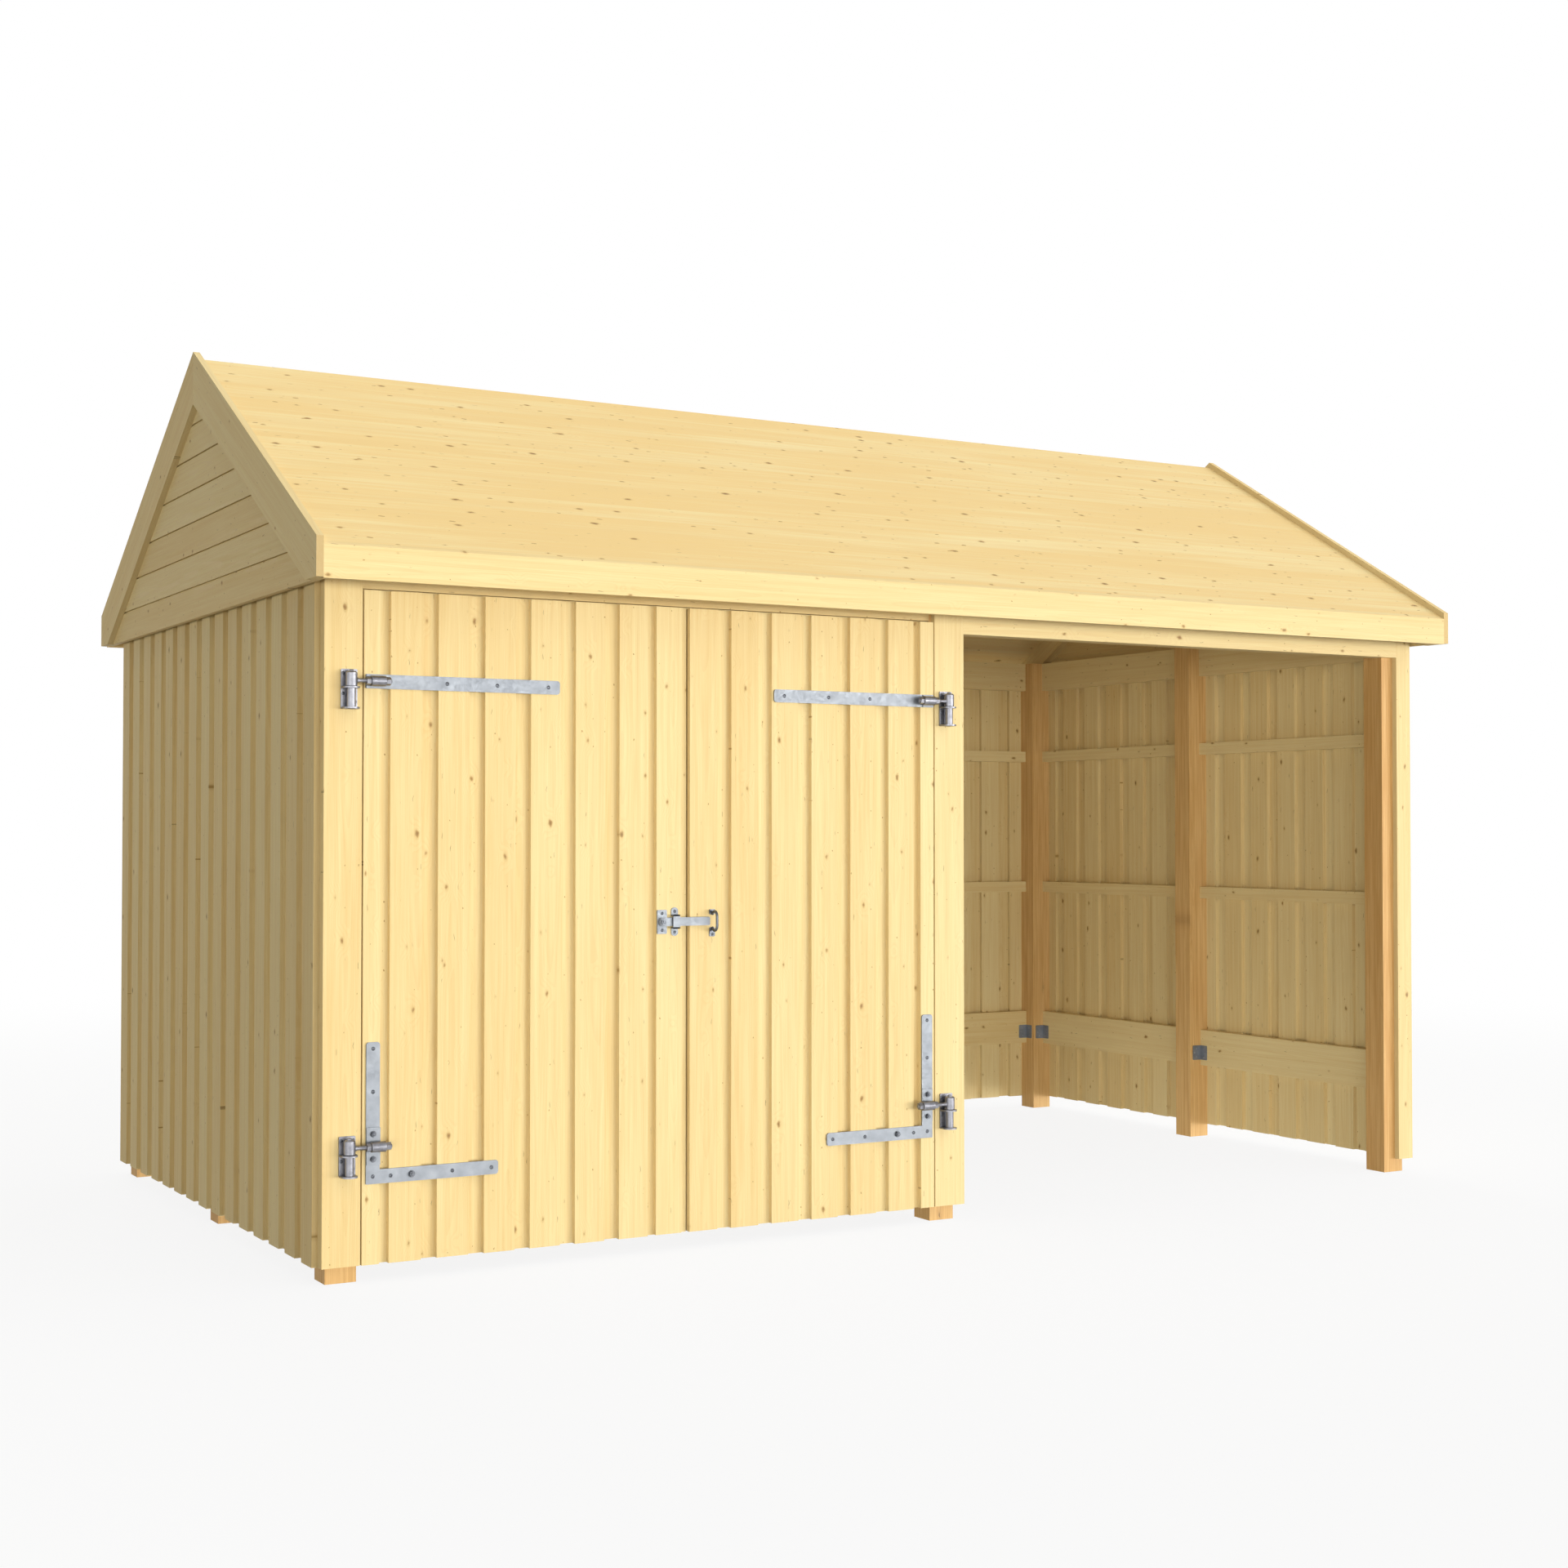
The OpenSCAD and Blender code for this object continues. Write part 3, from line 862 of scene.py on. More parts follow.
@dataclass
class LappedWall:
    """A wall of two lapped layers of boards, the inner ones behind the gaps of the outer ones."""

    sizes: ShedSizes
    node: str
    outer: list[Span]
    inner: list[Span]
    place: Matrix
    seed: int
    ragged: float = 1.2

    @classmethod
    def gable(cls, sizes: ShedSizes, side: Side, seed: int) -> "LappedWall":
        """Lay out a gable wall.

        Args:
            sizes: The shed's sizes.
            side: The left or the right gable.
            seed: Seed of the boards.

        Returns:
            The wall.
        """
        t, hd = sizes.board_t, sizes.half_d
        outer = cls.spread(sizes, -hd + t - sizes.trim_joint, hd + 2 * t)
        end = cls.end_width(sizes, outer)
        inner = [(-hd, end), *sizes.behind(outer), (hd + t - end, end)]
        x = side.value * sizes.half_l
        place = frame_of((x, 0, sizes.base), (0, 1, 0), (side.value, 0, 0))
        return cls(sizes, f"{side.name.lower()}_gable_cladding", outer, inner, place, seed)

    @classmethod
    def back(cls, sizes: ShedSizes, seed: int) -> "LappedWall":
        """Lay out the back wall.

        Args:
            sizes: The shed's sizes.
            seed: Seed of the boards.

        Returns:
            The wall.
        """
        hl, t = sizes.half_l, sizes.board_t
        outer = cls.spread(sizes, -hl - t, hl + t)
        end = cls.end_width(sizes, outer)
        inner = [(-hl, end), *sizes.behind(outer), (hl - end, end)]
        place = frame_of((0, sizes.half_d, sizes.base), (1, 0, 0), (0, 1, 0))
        return cls(sizes, "back_cladding", outer, inner, place, seed)

    @staticmethod
    def spread(sizes: ShedSizes, low: float, high: float) -> list[Span]:
        """Spread outer boards evenly.

        Args:
            sizes: The shed's sizes.
            low: Start of the first board.
            high: End of the last board.

        Returns:
            Start and width of each board.
        """
        room = high - low - sizes.board_w
        count = round(room / (sizes.board_w + sizes.wall_gap))
        return [(low + i * room / count, sizes.board_w) for i in range(count + 1)]

    @staticmethod
    def end_width(sizes: ShedSizes, outer: Sequence[Span]) -> float:
        """Return the width of the inner board that ends the wall."""
        return (outer[1][0] - outer[0][0]) / 2 - sizes.board_t - sizes.end_room

    def build(self, finish: bpy.types.Material) -> None:
        """Build and dress the wall.

        Args:
            finish: The boards' timber.
        """
        stack = PlankStack(self.seed)
        height, t = self.sizes.wall_top - self.sizes.base, self.sizes.board_t
        for layer, boards in enumerate((self.inner, self.outer)):
            depth = (layer * t, (layer + 1) * t)
            for start, width in boards:
                low = stack.random.uniform(-self.ragged, self.ragged)
                stack.board(box(start, start + width, low, height), depth, self.place)
        name = self.node.replace("cladding", "boards")
        stack.place(name, finish, Body.SHED, Slot.PALE, [self.node])


@dataclass
class RailSet:
    """Rails and plates between the posts, and the steel angles on the lower rails."""

    sizes: ShedSizes
    depth: float = 38.0
    front_depth: float = 45.0
    rails: tuple[Span, ...] = ((307.0, 459.0), (1032.0, 1082.0), (1657.0, 1707.0))
    bracket_leg: float = 44.0
    bracket_z: Span = (331.0, 393.0)
    bracket_t: float = 2.5
    bracket_r: float = 5.0
    bracket_screws: tuple[Point, ...] = ((0.5, 0.22), (0.72, 0.5), (0.5, 0.78))
    bracket_screw_r: float = 4.2
    seed: int = 41

    def run(self, node: str, heights: Iterable[Span], lengths: Iterable[Span], depth: Span,
            place: Matrix, finish: bpy.types.Material) -> None:
        """Build one set of level boards.

        Args:
            node: The node that they stand for.
            heights: Lower and upper edge of each board.
            lengths: Start and end of each board.
            depth: First and last n.
            place: The matrix from s, n, t to metres.
            finish: The boards' timber.
        """
        self.seed += 1
        stack = PlankStack(self.seed)
        lengths = list(lengths)
        for low, high in heights:
            for start, end in lengths:
                stack.board(box(start, end, low, high), depth, place, *LEVEL)
        stack.place(f"{node}_timber", finish, Body.SHED, Slot.PALE, [node])

    def build(self, timber: bpy.types.Material, steel: bpy.types.Material) -> None:
        """Build and dress rails, plates and angles.

        Args:
            timber: The boards' finish.
            steel: The angles' finish.
        """
        hl, hd, post = self.sizes.half_l, self.sizes.half_d, self.sizes.post
        plates = [(self.sizes.plate_z, self.sizes.wall_top)]
        sides = [(-hd + post, -post / 2), (post / 2, hd - post)]
        backs = [(-hl + post, -post / 2), (post / 2, hl - post)]
        inward = (0.0, self.depth)
        for side in Side:
            place = frame_of((side.value * hl, 0, 0), (0, 1, 0), (-side.value, 0, 0))
            name = side.name.lower()
            self.run(f"{name}_rails", self.rails, sides, inward, place, timber)
            self.run(f"{name}_plates", plates, sides, inward, place, timber)
        back = frame_of((0, hd, 0), (1, 0, 0), (0, -1, 0))
        self.run("back_rails", self.rails, backs, inward, back, timber)
        self.run("back_plates", plates, backs, inward, back, timber)
        self.front_plates(plates, backs, timber)
        self.brackets(sides, steel)

    def front_plates(self, heights: Sequence[Span], lengths: Sequence[Span],
                     timber: bpy.types.Material) -> None:
        """Build the plates behind the headers, the left one set back behind the door header.

        Args:
            heights: Lower and upper edge.
            lengths: Start and end of each plate.
            timber: The finish.
        """
        stack = PlankStack(self.seed + 20)
        front = frame_of((0, -self.sizes.half_d, 0), (1, 0, 0), (0, 1, 0))
        for (start, end), back in zip(lengths, (self.sizes.trim_t, 0.0)):
            depth = (back, back + self.front_depth)
            stack.board(box(start, end, *heights[0]), depth, front, *LEVEL)
        stack.place("front_plates_timber", timber, Body.SHED, Slot.PALE, ["front_plates"])

    def brackets(self, sides: Sequence[Span], steel: bpy.types.Material) -> None:
        """Build the angles in the corners of posts and lower rails.

        Args:
            sides: Start and end of the side rails.
            steel: The finish.
        """
        stack = SteelStack()
        hl, hd, post = self.sizes.half_l, self.sizes.half_d, self.sizes.post
        inner, corners = hd - self.depth, []
        for sign in (side.value for side in Side):
            x = sign * (hl - self.depth)
            for start, end in sides:
                corners += [(x, start, (-sign, 0), (0, 1)), (x, end, (-sign, 0), (0, -1))]
            corners += [
                (sign * (hl - post), inner, (-sign, 0), (0, -1)),
                (sign * post / 2, inner, (sign, 0), (0, -1)),
            ]
        for x, y, p, q in corners:
            self.angle(stack, x, y, p, q)
        stack.place("rail_angles", steel, Body.SHED, Slot.STEEL, ["rail_brackets"])

    def angle(self, stack: SteelStack, x: float, y: float, p: Point, q: Point) -> None:
        """Add one angle with its screws.

        Args:
            stack: The mesh that takes it.
            x: X of the corner.
            y: Y of the corner.
            p: Direction of the first leg.
            q: Direction of the second leg.
        """
        t, leg, (z0, z1) = self.bracket_t, self.bracket_leg, self.bracket_z
        ends = (0, self.bracket_r, self.bracket_r, 0)
        for (ds, dn), start in (((p, q), 0.0), ((q, p), t)):
            place = frame_of((x, y, 0), (*ds, 0), (*dn, 0))
            stack.plate(rounded(start, leg, z0, z1, ends), (0, t), place, bevel=0.4)
            for s, z in self.bracket_screws:
                stack.screw(s * leg, t, z0 + z * (z1 - z0), place, self.bracket_screw_r)


@dataclass
class FrontTrims:
    """Upright trims on the front posts and the headers over the doors and the open bay."""

    sizes: ShedSizes
    left: Span = (-2177.5, -2061.5)
    middle: Span = (-38.5, 80.5)
    right: Span = (2123.0, 2195.0)
    door_header_z: float = 2041.0
    bevel: float = 1.0
    seed: int = 71

    def build(self, finish: bpy.types.Material) -> None:
        """Build and dress the trims and headers.

        Args:
            finish: The boards' timber.
        """
        s = self.sizes
        front = frame_of((0, s.front, 0), (1, 0, 0), (0, 1, 0))
        inner = (-s.half_l + s.post, -s.post / 2)
        boards = (
            ("front_left_trim", self.left, s.base, 0.0, UPRIGHT),
            ("front_middle_trim", self.middle, s.base, 0.0, UPRIGHT),
            ("front_right_trim", self.right, s.base, 0.0, UPRIGHT),
            ("bay_header", (self.middle[1], self.right[0]), s.plate_z, 0.0, LEVEL),
            ("door_header", inner, self.door_header_z, s.trim_t, LEVEL),
        )
        for number, (node, (x0, x1), z0, back, grain) in enumerate(boards):
            stack = PlankStack(self.seed + number)
            depth = (back, back + s.trim_t)
            stack.board(box(x0, x1, z0, s.wall_top), depth, front, *grain, bevel=self.bevel)
            stack.place(f"{node}_board", finish, Body.SHED, Slot.PALE, [node])


@dataclass
class SaddleRoof:
    """Saddle roof: rafters, boarded decks, grooved gable panels, barge boards and fascias."""

    sizes: ShedSizes
    pitch: float = 30.0
    eave_out: float = 170.0
    gable_out: float = 89.0
    eave_rise: float = 14.0
    deck_t: float = 19.0
    deck_boards: int = 13
    barge_w: float = 155.0
    barge_t: float = 22.0
    barge_up: float = 20.0
    fascia_h: float = 98.0
    fascia_t: float = 20.0
    panel_t: float = 20.0
    panel_up: float = 3.0
    panel_board: float = 112.0
    panel_peak: float = 60.0
    groove: float = 6.0
    groove_d: float = 9.0
    groove_low: float = 8.0
    tongue: float = 6.0
    tongue_in: float = 3.0
    rafter_t: float = 45.0
    rafter_h: float = 95.0
    toe_in: float = 2.0
    seed: int = 91

    def __post_init__(self) -> None:
        """Work out the roof lines."""
        self.fall = math.tan(math.radians(self.pitch))
        self.cos = math.cos(math.radians(self.pitch))
        self.eave_y = self.sizes.half_d + self.eave_out
        self.end_x = self.sizes.half_l + self.gable_out
        self.deck_x = self.end_x - self.barge_t
        self.eave_z = self.sizes.wall_top + self.eave_rise
        self.ridge_z = self.eave_z + self.eave_y * self.fall
        self.fascia_z = self.eave_z - self.fascia_h
        self.panel_z = self.fascia_z + self.panel_up
        self.fascia_back = self.eave_y - self.fascia_t
        self.deck_v = self.deck_t / self.cos
        self.rafter_v = self.rafter_h / self.cos

    def top(self, y: float) -> float:
        """Return the height of the deck's upper face at a distance from the ridge."""
        return self.ridge_z - abs(y) * self.fall

    def under(self, y: float) -> float:
        """Return the height of the deck's lower face at a distance from the ridge."""
        return self.top(y) - self.deck_v

    def build(self, finish: bpy.types.Material, decking: bpy.types.Material) -> None:
        """Build and dress the roof.

        Args:
            finish: The boards' timber.
            decking: The timber of the decks.
        """
        for number, slope in enumerate(Slope):
            self.half(slope, number, finish, decking)
        for number, side in enumerate(Side):
            self.panel(side, number, finish)
            for slope in Slope:
                self.barge(side, slope, finish)

    def half(self, slope: Slope, number: int, finish: bpy.types.Material,
             decking: bpy.types.Material) -> None:
        """Build the deck, rafters and fascia of one slope.

        Args:
            slope: The front or the back slope.
            number: Number of the slope.
            finish: The timber of rafters and fascia.
            decking: The timber of the deck.
        """
        name, face = slope.name.lower(), slope.value
        downhill, level = (1, 0, -self.fall), (0, 1, 0)
        section = frame_of((-self.deck_x, 0, 0), (0, face, 0), (1, 0, 0))
        length = (0, 2 * self.deck_x)
        deck = PlankStack(self.seed + number)
        lean = self.deck_v * self.fall * self.cos * self.cos
        step = self.fascia_back / self.deck_boards
        for i in range(self.deck_boards):
            y0, y1 = i * step, (i + 1) * step
            b0 = y0 - (lean if i > 0 else 0)
            b1 = y1 - (lean if i < self.deck_boards - 1 else 0)
            outline = [(y0, self.top(y0)), (b0, self.under(b0)), (b1, self.under(b1)),
                       (y1, self.top(y1))]
            deck.board(outline, length, section, level, downhill, bevel=0.4)
        deck.place(f"{name}_roof_boards", decking, Body.SHED, Slot.PALE, [f"{name}_roof_deck"])

        rafters = PlankStack(self.seed + 10 + number)
        crown, top = self.under(0), self.sizes.wall_top
        toe = min(self.fascia_back, (crown - top) / self.fall - self.toe_in)
        seat = (crown - self.rafter_v - top) / self.fall
        outline = [(toe, top), (seat, top), (0, crown - self.rafter_v), (0, crown),
                   (toe, self.under(toe))]
        hl, t = self.sizes.half_l, self.rafter_t
        first = self.deck_x - self.panel_t
        for x in (-first, -hl / 2 - t / 2, -t / 2, hl / 2 - t / 2, first - t):
            place = frame_of((x, 0, 0), (0, face, 0), (1, 0, 0))
            rafters.board(outline, (0, t), place, downhill, level, bevel=1.5)
        rafters.place(f"{name}_rafter_timber", finish, Body.SHED, Slot.PALE, [f"{name}_rafters"])

        fascia = PlankStack(self.seed + 20 + number)
        y0, y1 = self.fascia_back, self.eave_y
        outline = [(y1, self.fascia_z), (y0, self.fascia_z), (y0, self.top(y0)), (y1, self.eave_z)]
        fascia.board(outline, length, section, level, (0, 0, 1))
        fascia.place(f"{name}_fascia_board", finish, Body.SHED, Slot.PALE, [f"{name}_fascia"])

    def panel(self, side: Side, number: int, finish: bpy.types.Material) -> None:
        """Build a gable panel of level boards with a groove between each two.

        Args:
            side: The left or the right gable.
            number: Number of the gable.
            finish: The timber.
        """
        stack = PlankStack(self.seed + 30 + number)
        name = side.name.lower()
        place = frame_of((side.value * self.deck_x, 0, 0), (0, 1, 0), (-side.value, 0, 0))
        crown = self.under(0)
        grooves = []
        z = self.panel_z + self.panel_board - self.groove_low
        while z <= crown - self.panel_peak:
            grooves.append(z)
            z += self.panel_board
        lows = [self.panel_z, *[z + self.groove for z in grooves]]
        for low, high in zip(lows, [*grooves, crown]):
            stack.board(self.slice(low, high), (0, self.panel_t), place, *LEVEL, bevel=0.8)
        depth = (self.groove_d, self.panel_t - self.tongue_in)
        for z in grooves:
            tongue = self.slice(z - self.tongue, z + self.groove + self.tongue)
            stack.board(tongue, depth, place, *LEVEL, bevel=0)
        stack.place(
            f"{name}_gable_panel_boards", finish, Body.SHED, Slot.PALE, [f"{name}_gable_panel"]
        )

    def reach(self, z: float) -> float:
        """Return how far the gable reaches to each side of the ridge at a height."""
        return min(self.fascia_back, (self.under(0) - z) / self.fall)

    def slice(self, low: float, high: float) -> list[Point]:
        """Draw the gable between two heights.

        Args:
            low: The lower height.
            high: The upper height.

        Returns:
            The outline.
        """
        edge = self.under(self.fascia_back)
        right = [(self.reach(low), low)]
        if low < edge < high:
            right.append((self.fascia_back, edge))
        if self.reach(high) > 1:
            right.append((self.reach(high), high))
            return [*[(-y, z) for y, z in reversed(right)], *right][::-1]
        return [*[(-y, z) for y, z in right], (0, high), *reversed(right)][::-1]

    def barge(self, side: Side, slope: Slope, finish: bpy.types.Material) -> None:
        """Build one barge board with plumb cuts at the ridge and the eave and a level cut below.

        Args:
            side: The left or the right gable.
            slope: The front or the back slope.
            finish: The timber.
        """
        face = slope.value
        up = self.barge_up / self.cos
        low = self.barge_w / self.cos - up
        toe = (self.ridge_z - low - self.panel_z) / self.fall
        outline = [(0, self.ridge_z + up), (0, self.ridge_z - low), (toe, self.panel_z),
                   (self.eave_y, self.panel_z), (self.eave_y, self.eave_z + up)]
        node = f"{side.name.lower()}_{slope.name.lower()}_barge"
        stack = PlankStack(self.seed + 40 + 2 * side.value + face)
        place = frame_of((side.value * self.end_x, 0, 0), (0, face, 0), (-side.value, 0, 0))
        stack.board(outline, (0, self.barge_t), place, (1, 0, -self.fall), (self.fall, 0, 1))
        stack.place(f"{node}_board", finish, Body.SHED, Slot.PALE, [node])


@dataclass
class HingeSizes:
    """Sizes of the pintle hinges in millimetres; u runs from a leaf's hinge edge."""

    pin_out: float = 47.0
    pin_stand: float = 25.0
    pin_r: float = 7.0
    strap_w: float = 42.0
    strap_t: float = 5.0
    strap_l: float = 622.0
    angle_l: float = 416.0
    strap_z: float = 1765.0
    lower_z: float = 397.0
    angle_z: float = 286.0
    strap_u: float = 4.0
    angle_u: float = 10.0
    corner_r: float = 9.0
    edge_r: float = 2.0
    eye_r: float = 17.0
    eye: Span = (-18.0, 22.0)
    bevel: float = 4.0
    barrel_r: float = 15.5
    barrel_l: float = 46.0
    nut: float = 25.0
    nut_l: float = 13.0
    saddle_t: float = 3.0
    saddle: Span = (-7.0, 35.0)
    seat: float = 0.66
    arm_saddle: float = 110.0
    barrel_in: float = 8.0
    rod_tail: float = 5.0
    neck: tuple[Point, ...] = ((9.5, 0.0), (6.2, 9.0), (5.6, 15.0), (7.0, 20.0))
    thread_r: Span = (6.2, 7.0)
    thread: float = 2.4
    plate_w: float = 50.0
    plate: Span = (-84.0, 34.0)
    plate_r: float = 4.0
    plate_screws: tuple[Point, ...] = ((-18.0, -38.0), (18.0, -62.0), (-18.0, 22.0), (18.0, 22.0))
    plate_screw_r: float = 5.0
    lug_r: float = 24.5
    lug_t: float = 5.0
    tube_r: float = 13.0
    strap_screws: tuple[float, ...] = (258.0, 419.0, 588.0)
    arm_screws: tuple[float, ...] = (683.0, 556.0, 308.0)
    arm_bolts: tuple[float, ...] = (433.0, 359.0)
    arm_nut: float = 15.0
    foot_screws: tuple[float, ...] = (86.0, 279.0, 404.0)
    foot_bolt: float = 151.0


@dataclass
class DoorLeaf:
    """One boarded leaf with its ledges, brace and hinge straps, drawn from its hinge edge."""

    sizes: ShedSizes
    hinge: HingeSizes
    side: Side
    body: Body
    edge_x: float
    seed: int
    half: float = 1006.5
    top: float = 2035.0
    strip_w: float = 53.0
    gap: float = 29.0
    cover_w: float = 90.0
    boards: int = 6
    ledge_h: float = 95.0
    ledge_t: float = 22.0
    ledge_u: float = 24.0
    ledge_in: Span = (10.0, 20.0)
    brace_in: float = 10.0
    brace_w: float = 115.0
    # Slot between the leaves, half as wide as in the solids, so that it isn't a dark line
    seam: float = 5.0
    strip_in: float = 8.0
    lap: float = 20.0
    joint_lap: float = 25.0
    joint: float = 3.0
    stile_in: float = 40.0
    stile_back: float = 1.0
    ragged: float = 0.8

    def __post_init__(self) -> None:
        """Work out the leaf's board lines and its place."""
        s = self.sizes
        self.name = self.side.name.lower()
        self.first = self.strip_w + self.gap
        self.cover_u = self.half - self.cover_w / 2
        self.last = self.cover_u - self.gap - s.board_w
        self.seam_u = 2 * self.half - self.last - s.board_w - self.seam
        self.inward = -self.side.value
        self.face = frame_of((self.edge_x, s.front, 0), (self.inward, 0, 0), (0, -1, 0))

    def layers(self) -> tuple[list[Span], list[Span]]:
        """Lay out the boards.

        Returns:
            The outer and the inner boards as start and width.
        """
        w = self.sizes.board_w
        pitch = (self.last - self.first) / (self.boards - 1)
        full = [(self.first + i * pitch, w) for i in range(self.boards)]
        outer = [(0.0, self.strip_w), *full]
        inner = [(self.strip_in, self.first + self.lap), *self.sizes.behind(full)]
        if self.side is Side.LEFT:
            a, b = self.last + w - self.joint_lap, self.cover_u + self.lap
            outer.append((self.cover_u, self.cover_w))
            inner += [(a, b - a - self.joint), (b, self.seam_u - b)]
        else:
            inner.append((self.last + self.stile_in, w - self.stile_in - self.stile_back))
        return outer, inner

    def build(self, timber: bpy.types.Material, strap: bpy.types.Material,
              forged: bpy.types.Material, screw: bpy.types.Material) -> None:
        """Build and dress the leaf.

        Args:
            timber: The boards' finish.
            strap: The finish of straps and plates.
            forged: The finish of eyes, rods and barrels.
            screw: The finish of nuts and screws.
        """
        t = self.sizes.board_t
        outer, inner = self.layers()
        stack = PlankStack(self.seed)
        for depth, boards in (((-2 * t, -t), inner), ((-t, 0.0), outer)):
            for start, width in boards:
                low = self.sizes.base + stack.random.uniform(-self.ragged, self.ragged)
                stack.board(box(start, start + width, low, self.top), depth, self.face)
        stack.place(
            f"{self.name}_leaf_boards", timber, self.body, Slot.PALE, [f"{self.name}_door_boards"]
        )
        self.ledges(timber)
        self.straps(strap, forged, screw)

    def ledges(self, timber: bpy.types.Material) -> None:
        """Build the ledges and the brace on the back.

        Args:
            timber: The finish.
        """
        h, u0 = self.hinge, self.ledge_u
        if self.side is Side.LEFT:
            u1 = self.cover_u - self.ledge_in[0]
        else:
            u1 = self.last + self.sizes.board_w - self.ledge_in[1]
        lower = h.angle_z + h.strap_w / 2 - self.ledge_h / 2
        upper = h.strap_z - self.ledge_h / 2
        back = -2 * self.sizes.board_t
        depth = (back - self.ledge_t, back)
        stack = PlankStack(self.seed + 1)
        for z in (lower, upper):
            ledge = box(u0, u1, z, z + self.ledge_h)
            stack.board(ledge, depth, self.face, *LEVEL, bevel=2.0)
        z0, z1 = lower + self.ledge_h, upper
        a, b = u0 + self.brace_in, u1 - self.brace_in
        brace = [(a, z0), (a + self.brace_w, z0), (b, z1), (b - self.brace_w, z1)]
        rise = (b - self.brace_w - a, 0, z1 - z0)
        stack.board(brace, depth, self.face, rise, (rise[2], 0, -rise[0]), bevel=2.0)
        stack.place(
            f"{self.name}_leaf_ledges", timber, self.body, Slot.PALE, [f"{self.name}_door_ledges"]
        )

    def straps(self, strap: bpy.types.Material, forged: bpy.types.Material,
               screw: bpy.types.Material) -> None:
        """Build the upper strap and the lower angle strap with eyes, rods, nuts and screws.

        Args:
            strap: The finish of the straps.
            forged: The finish of eyes, rods and barrels.
            screw: The finish of nuts and screws.
        """
        h, flat, round_, small = self.hinge, SteelStack(), SteelStack(), SteelStack()
        r, edge, w, t = h.corner_r, h.edge_r, h.strap_w, h.strap_t
        u, z = h.strap_u, h.strap_z - w / 2
        upper = rounded(u, u + h.strap_l, z, z + w, (edge, r, r, edge))
        flat.plate(upper, (0, t), self.face)
        u, z, long = h.angle_u, h.angle_z, h.angle_l
        foot = rounded(u, u + long, z, z + w, (edge, r, r, 0))
        arm = rounded(u, u + w, z, z + long, (edge, 0, r, r))
        corner = [p for p in foot if p[1] < z + w / 2 or p[0] > u + w]
        rest = [p for p in arm if p[1] > z + long / 2]
        flat.plate([*corner, (u + w, z + w), *rest], (0, t), self.face)
        self.eye(flat, round_, h.strap_u, h.strap_z, w)
        self.eye(flat, round_, h.angle_u, h.lower_z, h.arm_saddle)
        arm_u, foot_z = u + w / 2, z + w / 2
        spots = [(su, h.strap_z) for su in h.strap_screws]
        spots += [(arm_u, sz) for sz in h.arm_screws]
        spots += [(su, foot_z) for su in h.foot_screws]
        for su, sz in spots:
            small.screw(su, t, sz, self.face)
        small.bolt(h.foot_bolt, t, foot_z, self.face)
        for sz in h.arm_bolts:
            small.bolt(arm_u, t + h.saddle_t, sz, self.face, h.arm_nut)
        for stack, piece, finish, nodes in (
            (flat, "straps", strap, [f"{self.name}_hinge_straps"]),
            (round_, "eyes_and_rods", forged, []),
            (small, "screws_and_nuts", screw, []),
        ):
            stack.place(f"{self.name}_leaf_{piece}", finish, self.body, Slot.STEEL, nodes)

    def eye(self, flat: SteelStack, round_: SteelStack, u: float, z: float,
            saddle_h: float) -> None:
        """Add an eye, its threaded rod with two nuts, and the barrel on its saddle.

        Args:
            flat: The mesh of the flat parts.
            round_: The mesh of the turned parts.
            u: Start of the strap.
            z: Height of the rod.
            saddle_h: Height of the saddle.
        """
        h = self.hinge
        at = self.face @ Matrix.Translation((0, h.pin_stand, z))
        pin = at @ Matrix.Translation((-h.pin_out, 0, 0))
        low, high = h.eye
        r, bore = h.eye_r, h.pin_r + 0.5
        round_.turned(
            [(0, low + 3), (bore, low + 3), (bore, low), (r - 1.5, low), (r, low + 1.5), (r, high),
             (r - h.bevel, high + h.bevel), (bore, high + h.bevel), (bore, high), (0, high)],
            pin,
        )
        b = u + h.barrel_in
        end = b + h.barrel_l + h.nut_l + h.rod_tail
        start = h.eye_r - h.pin_out - 1.5
        core, thread = h.thread_r
        rod = [(0, start), *[(r, start + along) for r, along in h.neck]]
        x = start + h.neck[-1][1]
        while x < end - 3:
            rod += [(thread, x), (core, x + h.thread / 2)]
            x += h.thread
        rod += [(6.6, end - 1.5), (5.4, end), (0, end)]
        round_.turned(rod, at, Axis.S, steps=24)
        for n in (b - h.nut_l - 1, b + h.barrel_l + 1):
            side = at @ Matrix.Translation((n, 0, 0)) @ Matrix.Rotation(math.pi / 2, 4, "Z")
            round_.plate(hexagon(h.nut, turn=0.3), (-h.nut_l, 0.0), side, bevel=1.2)
        br, far = h.barrel_r, b + h.barrel_l
        round_.turned(
            [(0, b), (br - 1.5, b), (br, b + 1.5), (br, far - 1.5), (br - 1.5, far), (0, far)],
            at, Axis.S,
        )
        top, tall = h.strap_t + h.saddle_t, saddle_h / 2
        block = box(b, far, z - br * h.seat, z + br * h.seat)
        flat.plate(block, (top - 1, h.pin_stand), self.face, bevel=0.6)
        low, high = h.saddle
        saddle = rounded(b + low, b + high, z - tall, z + tall, [h.edge_r] * 4)
        flat.plate(saddle, (h.strap_t - 1, top), self.face, bevel=0.8)


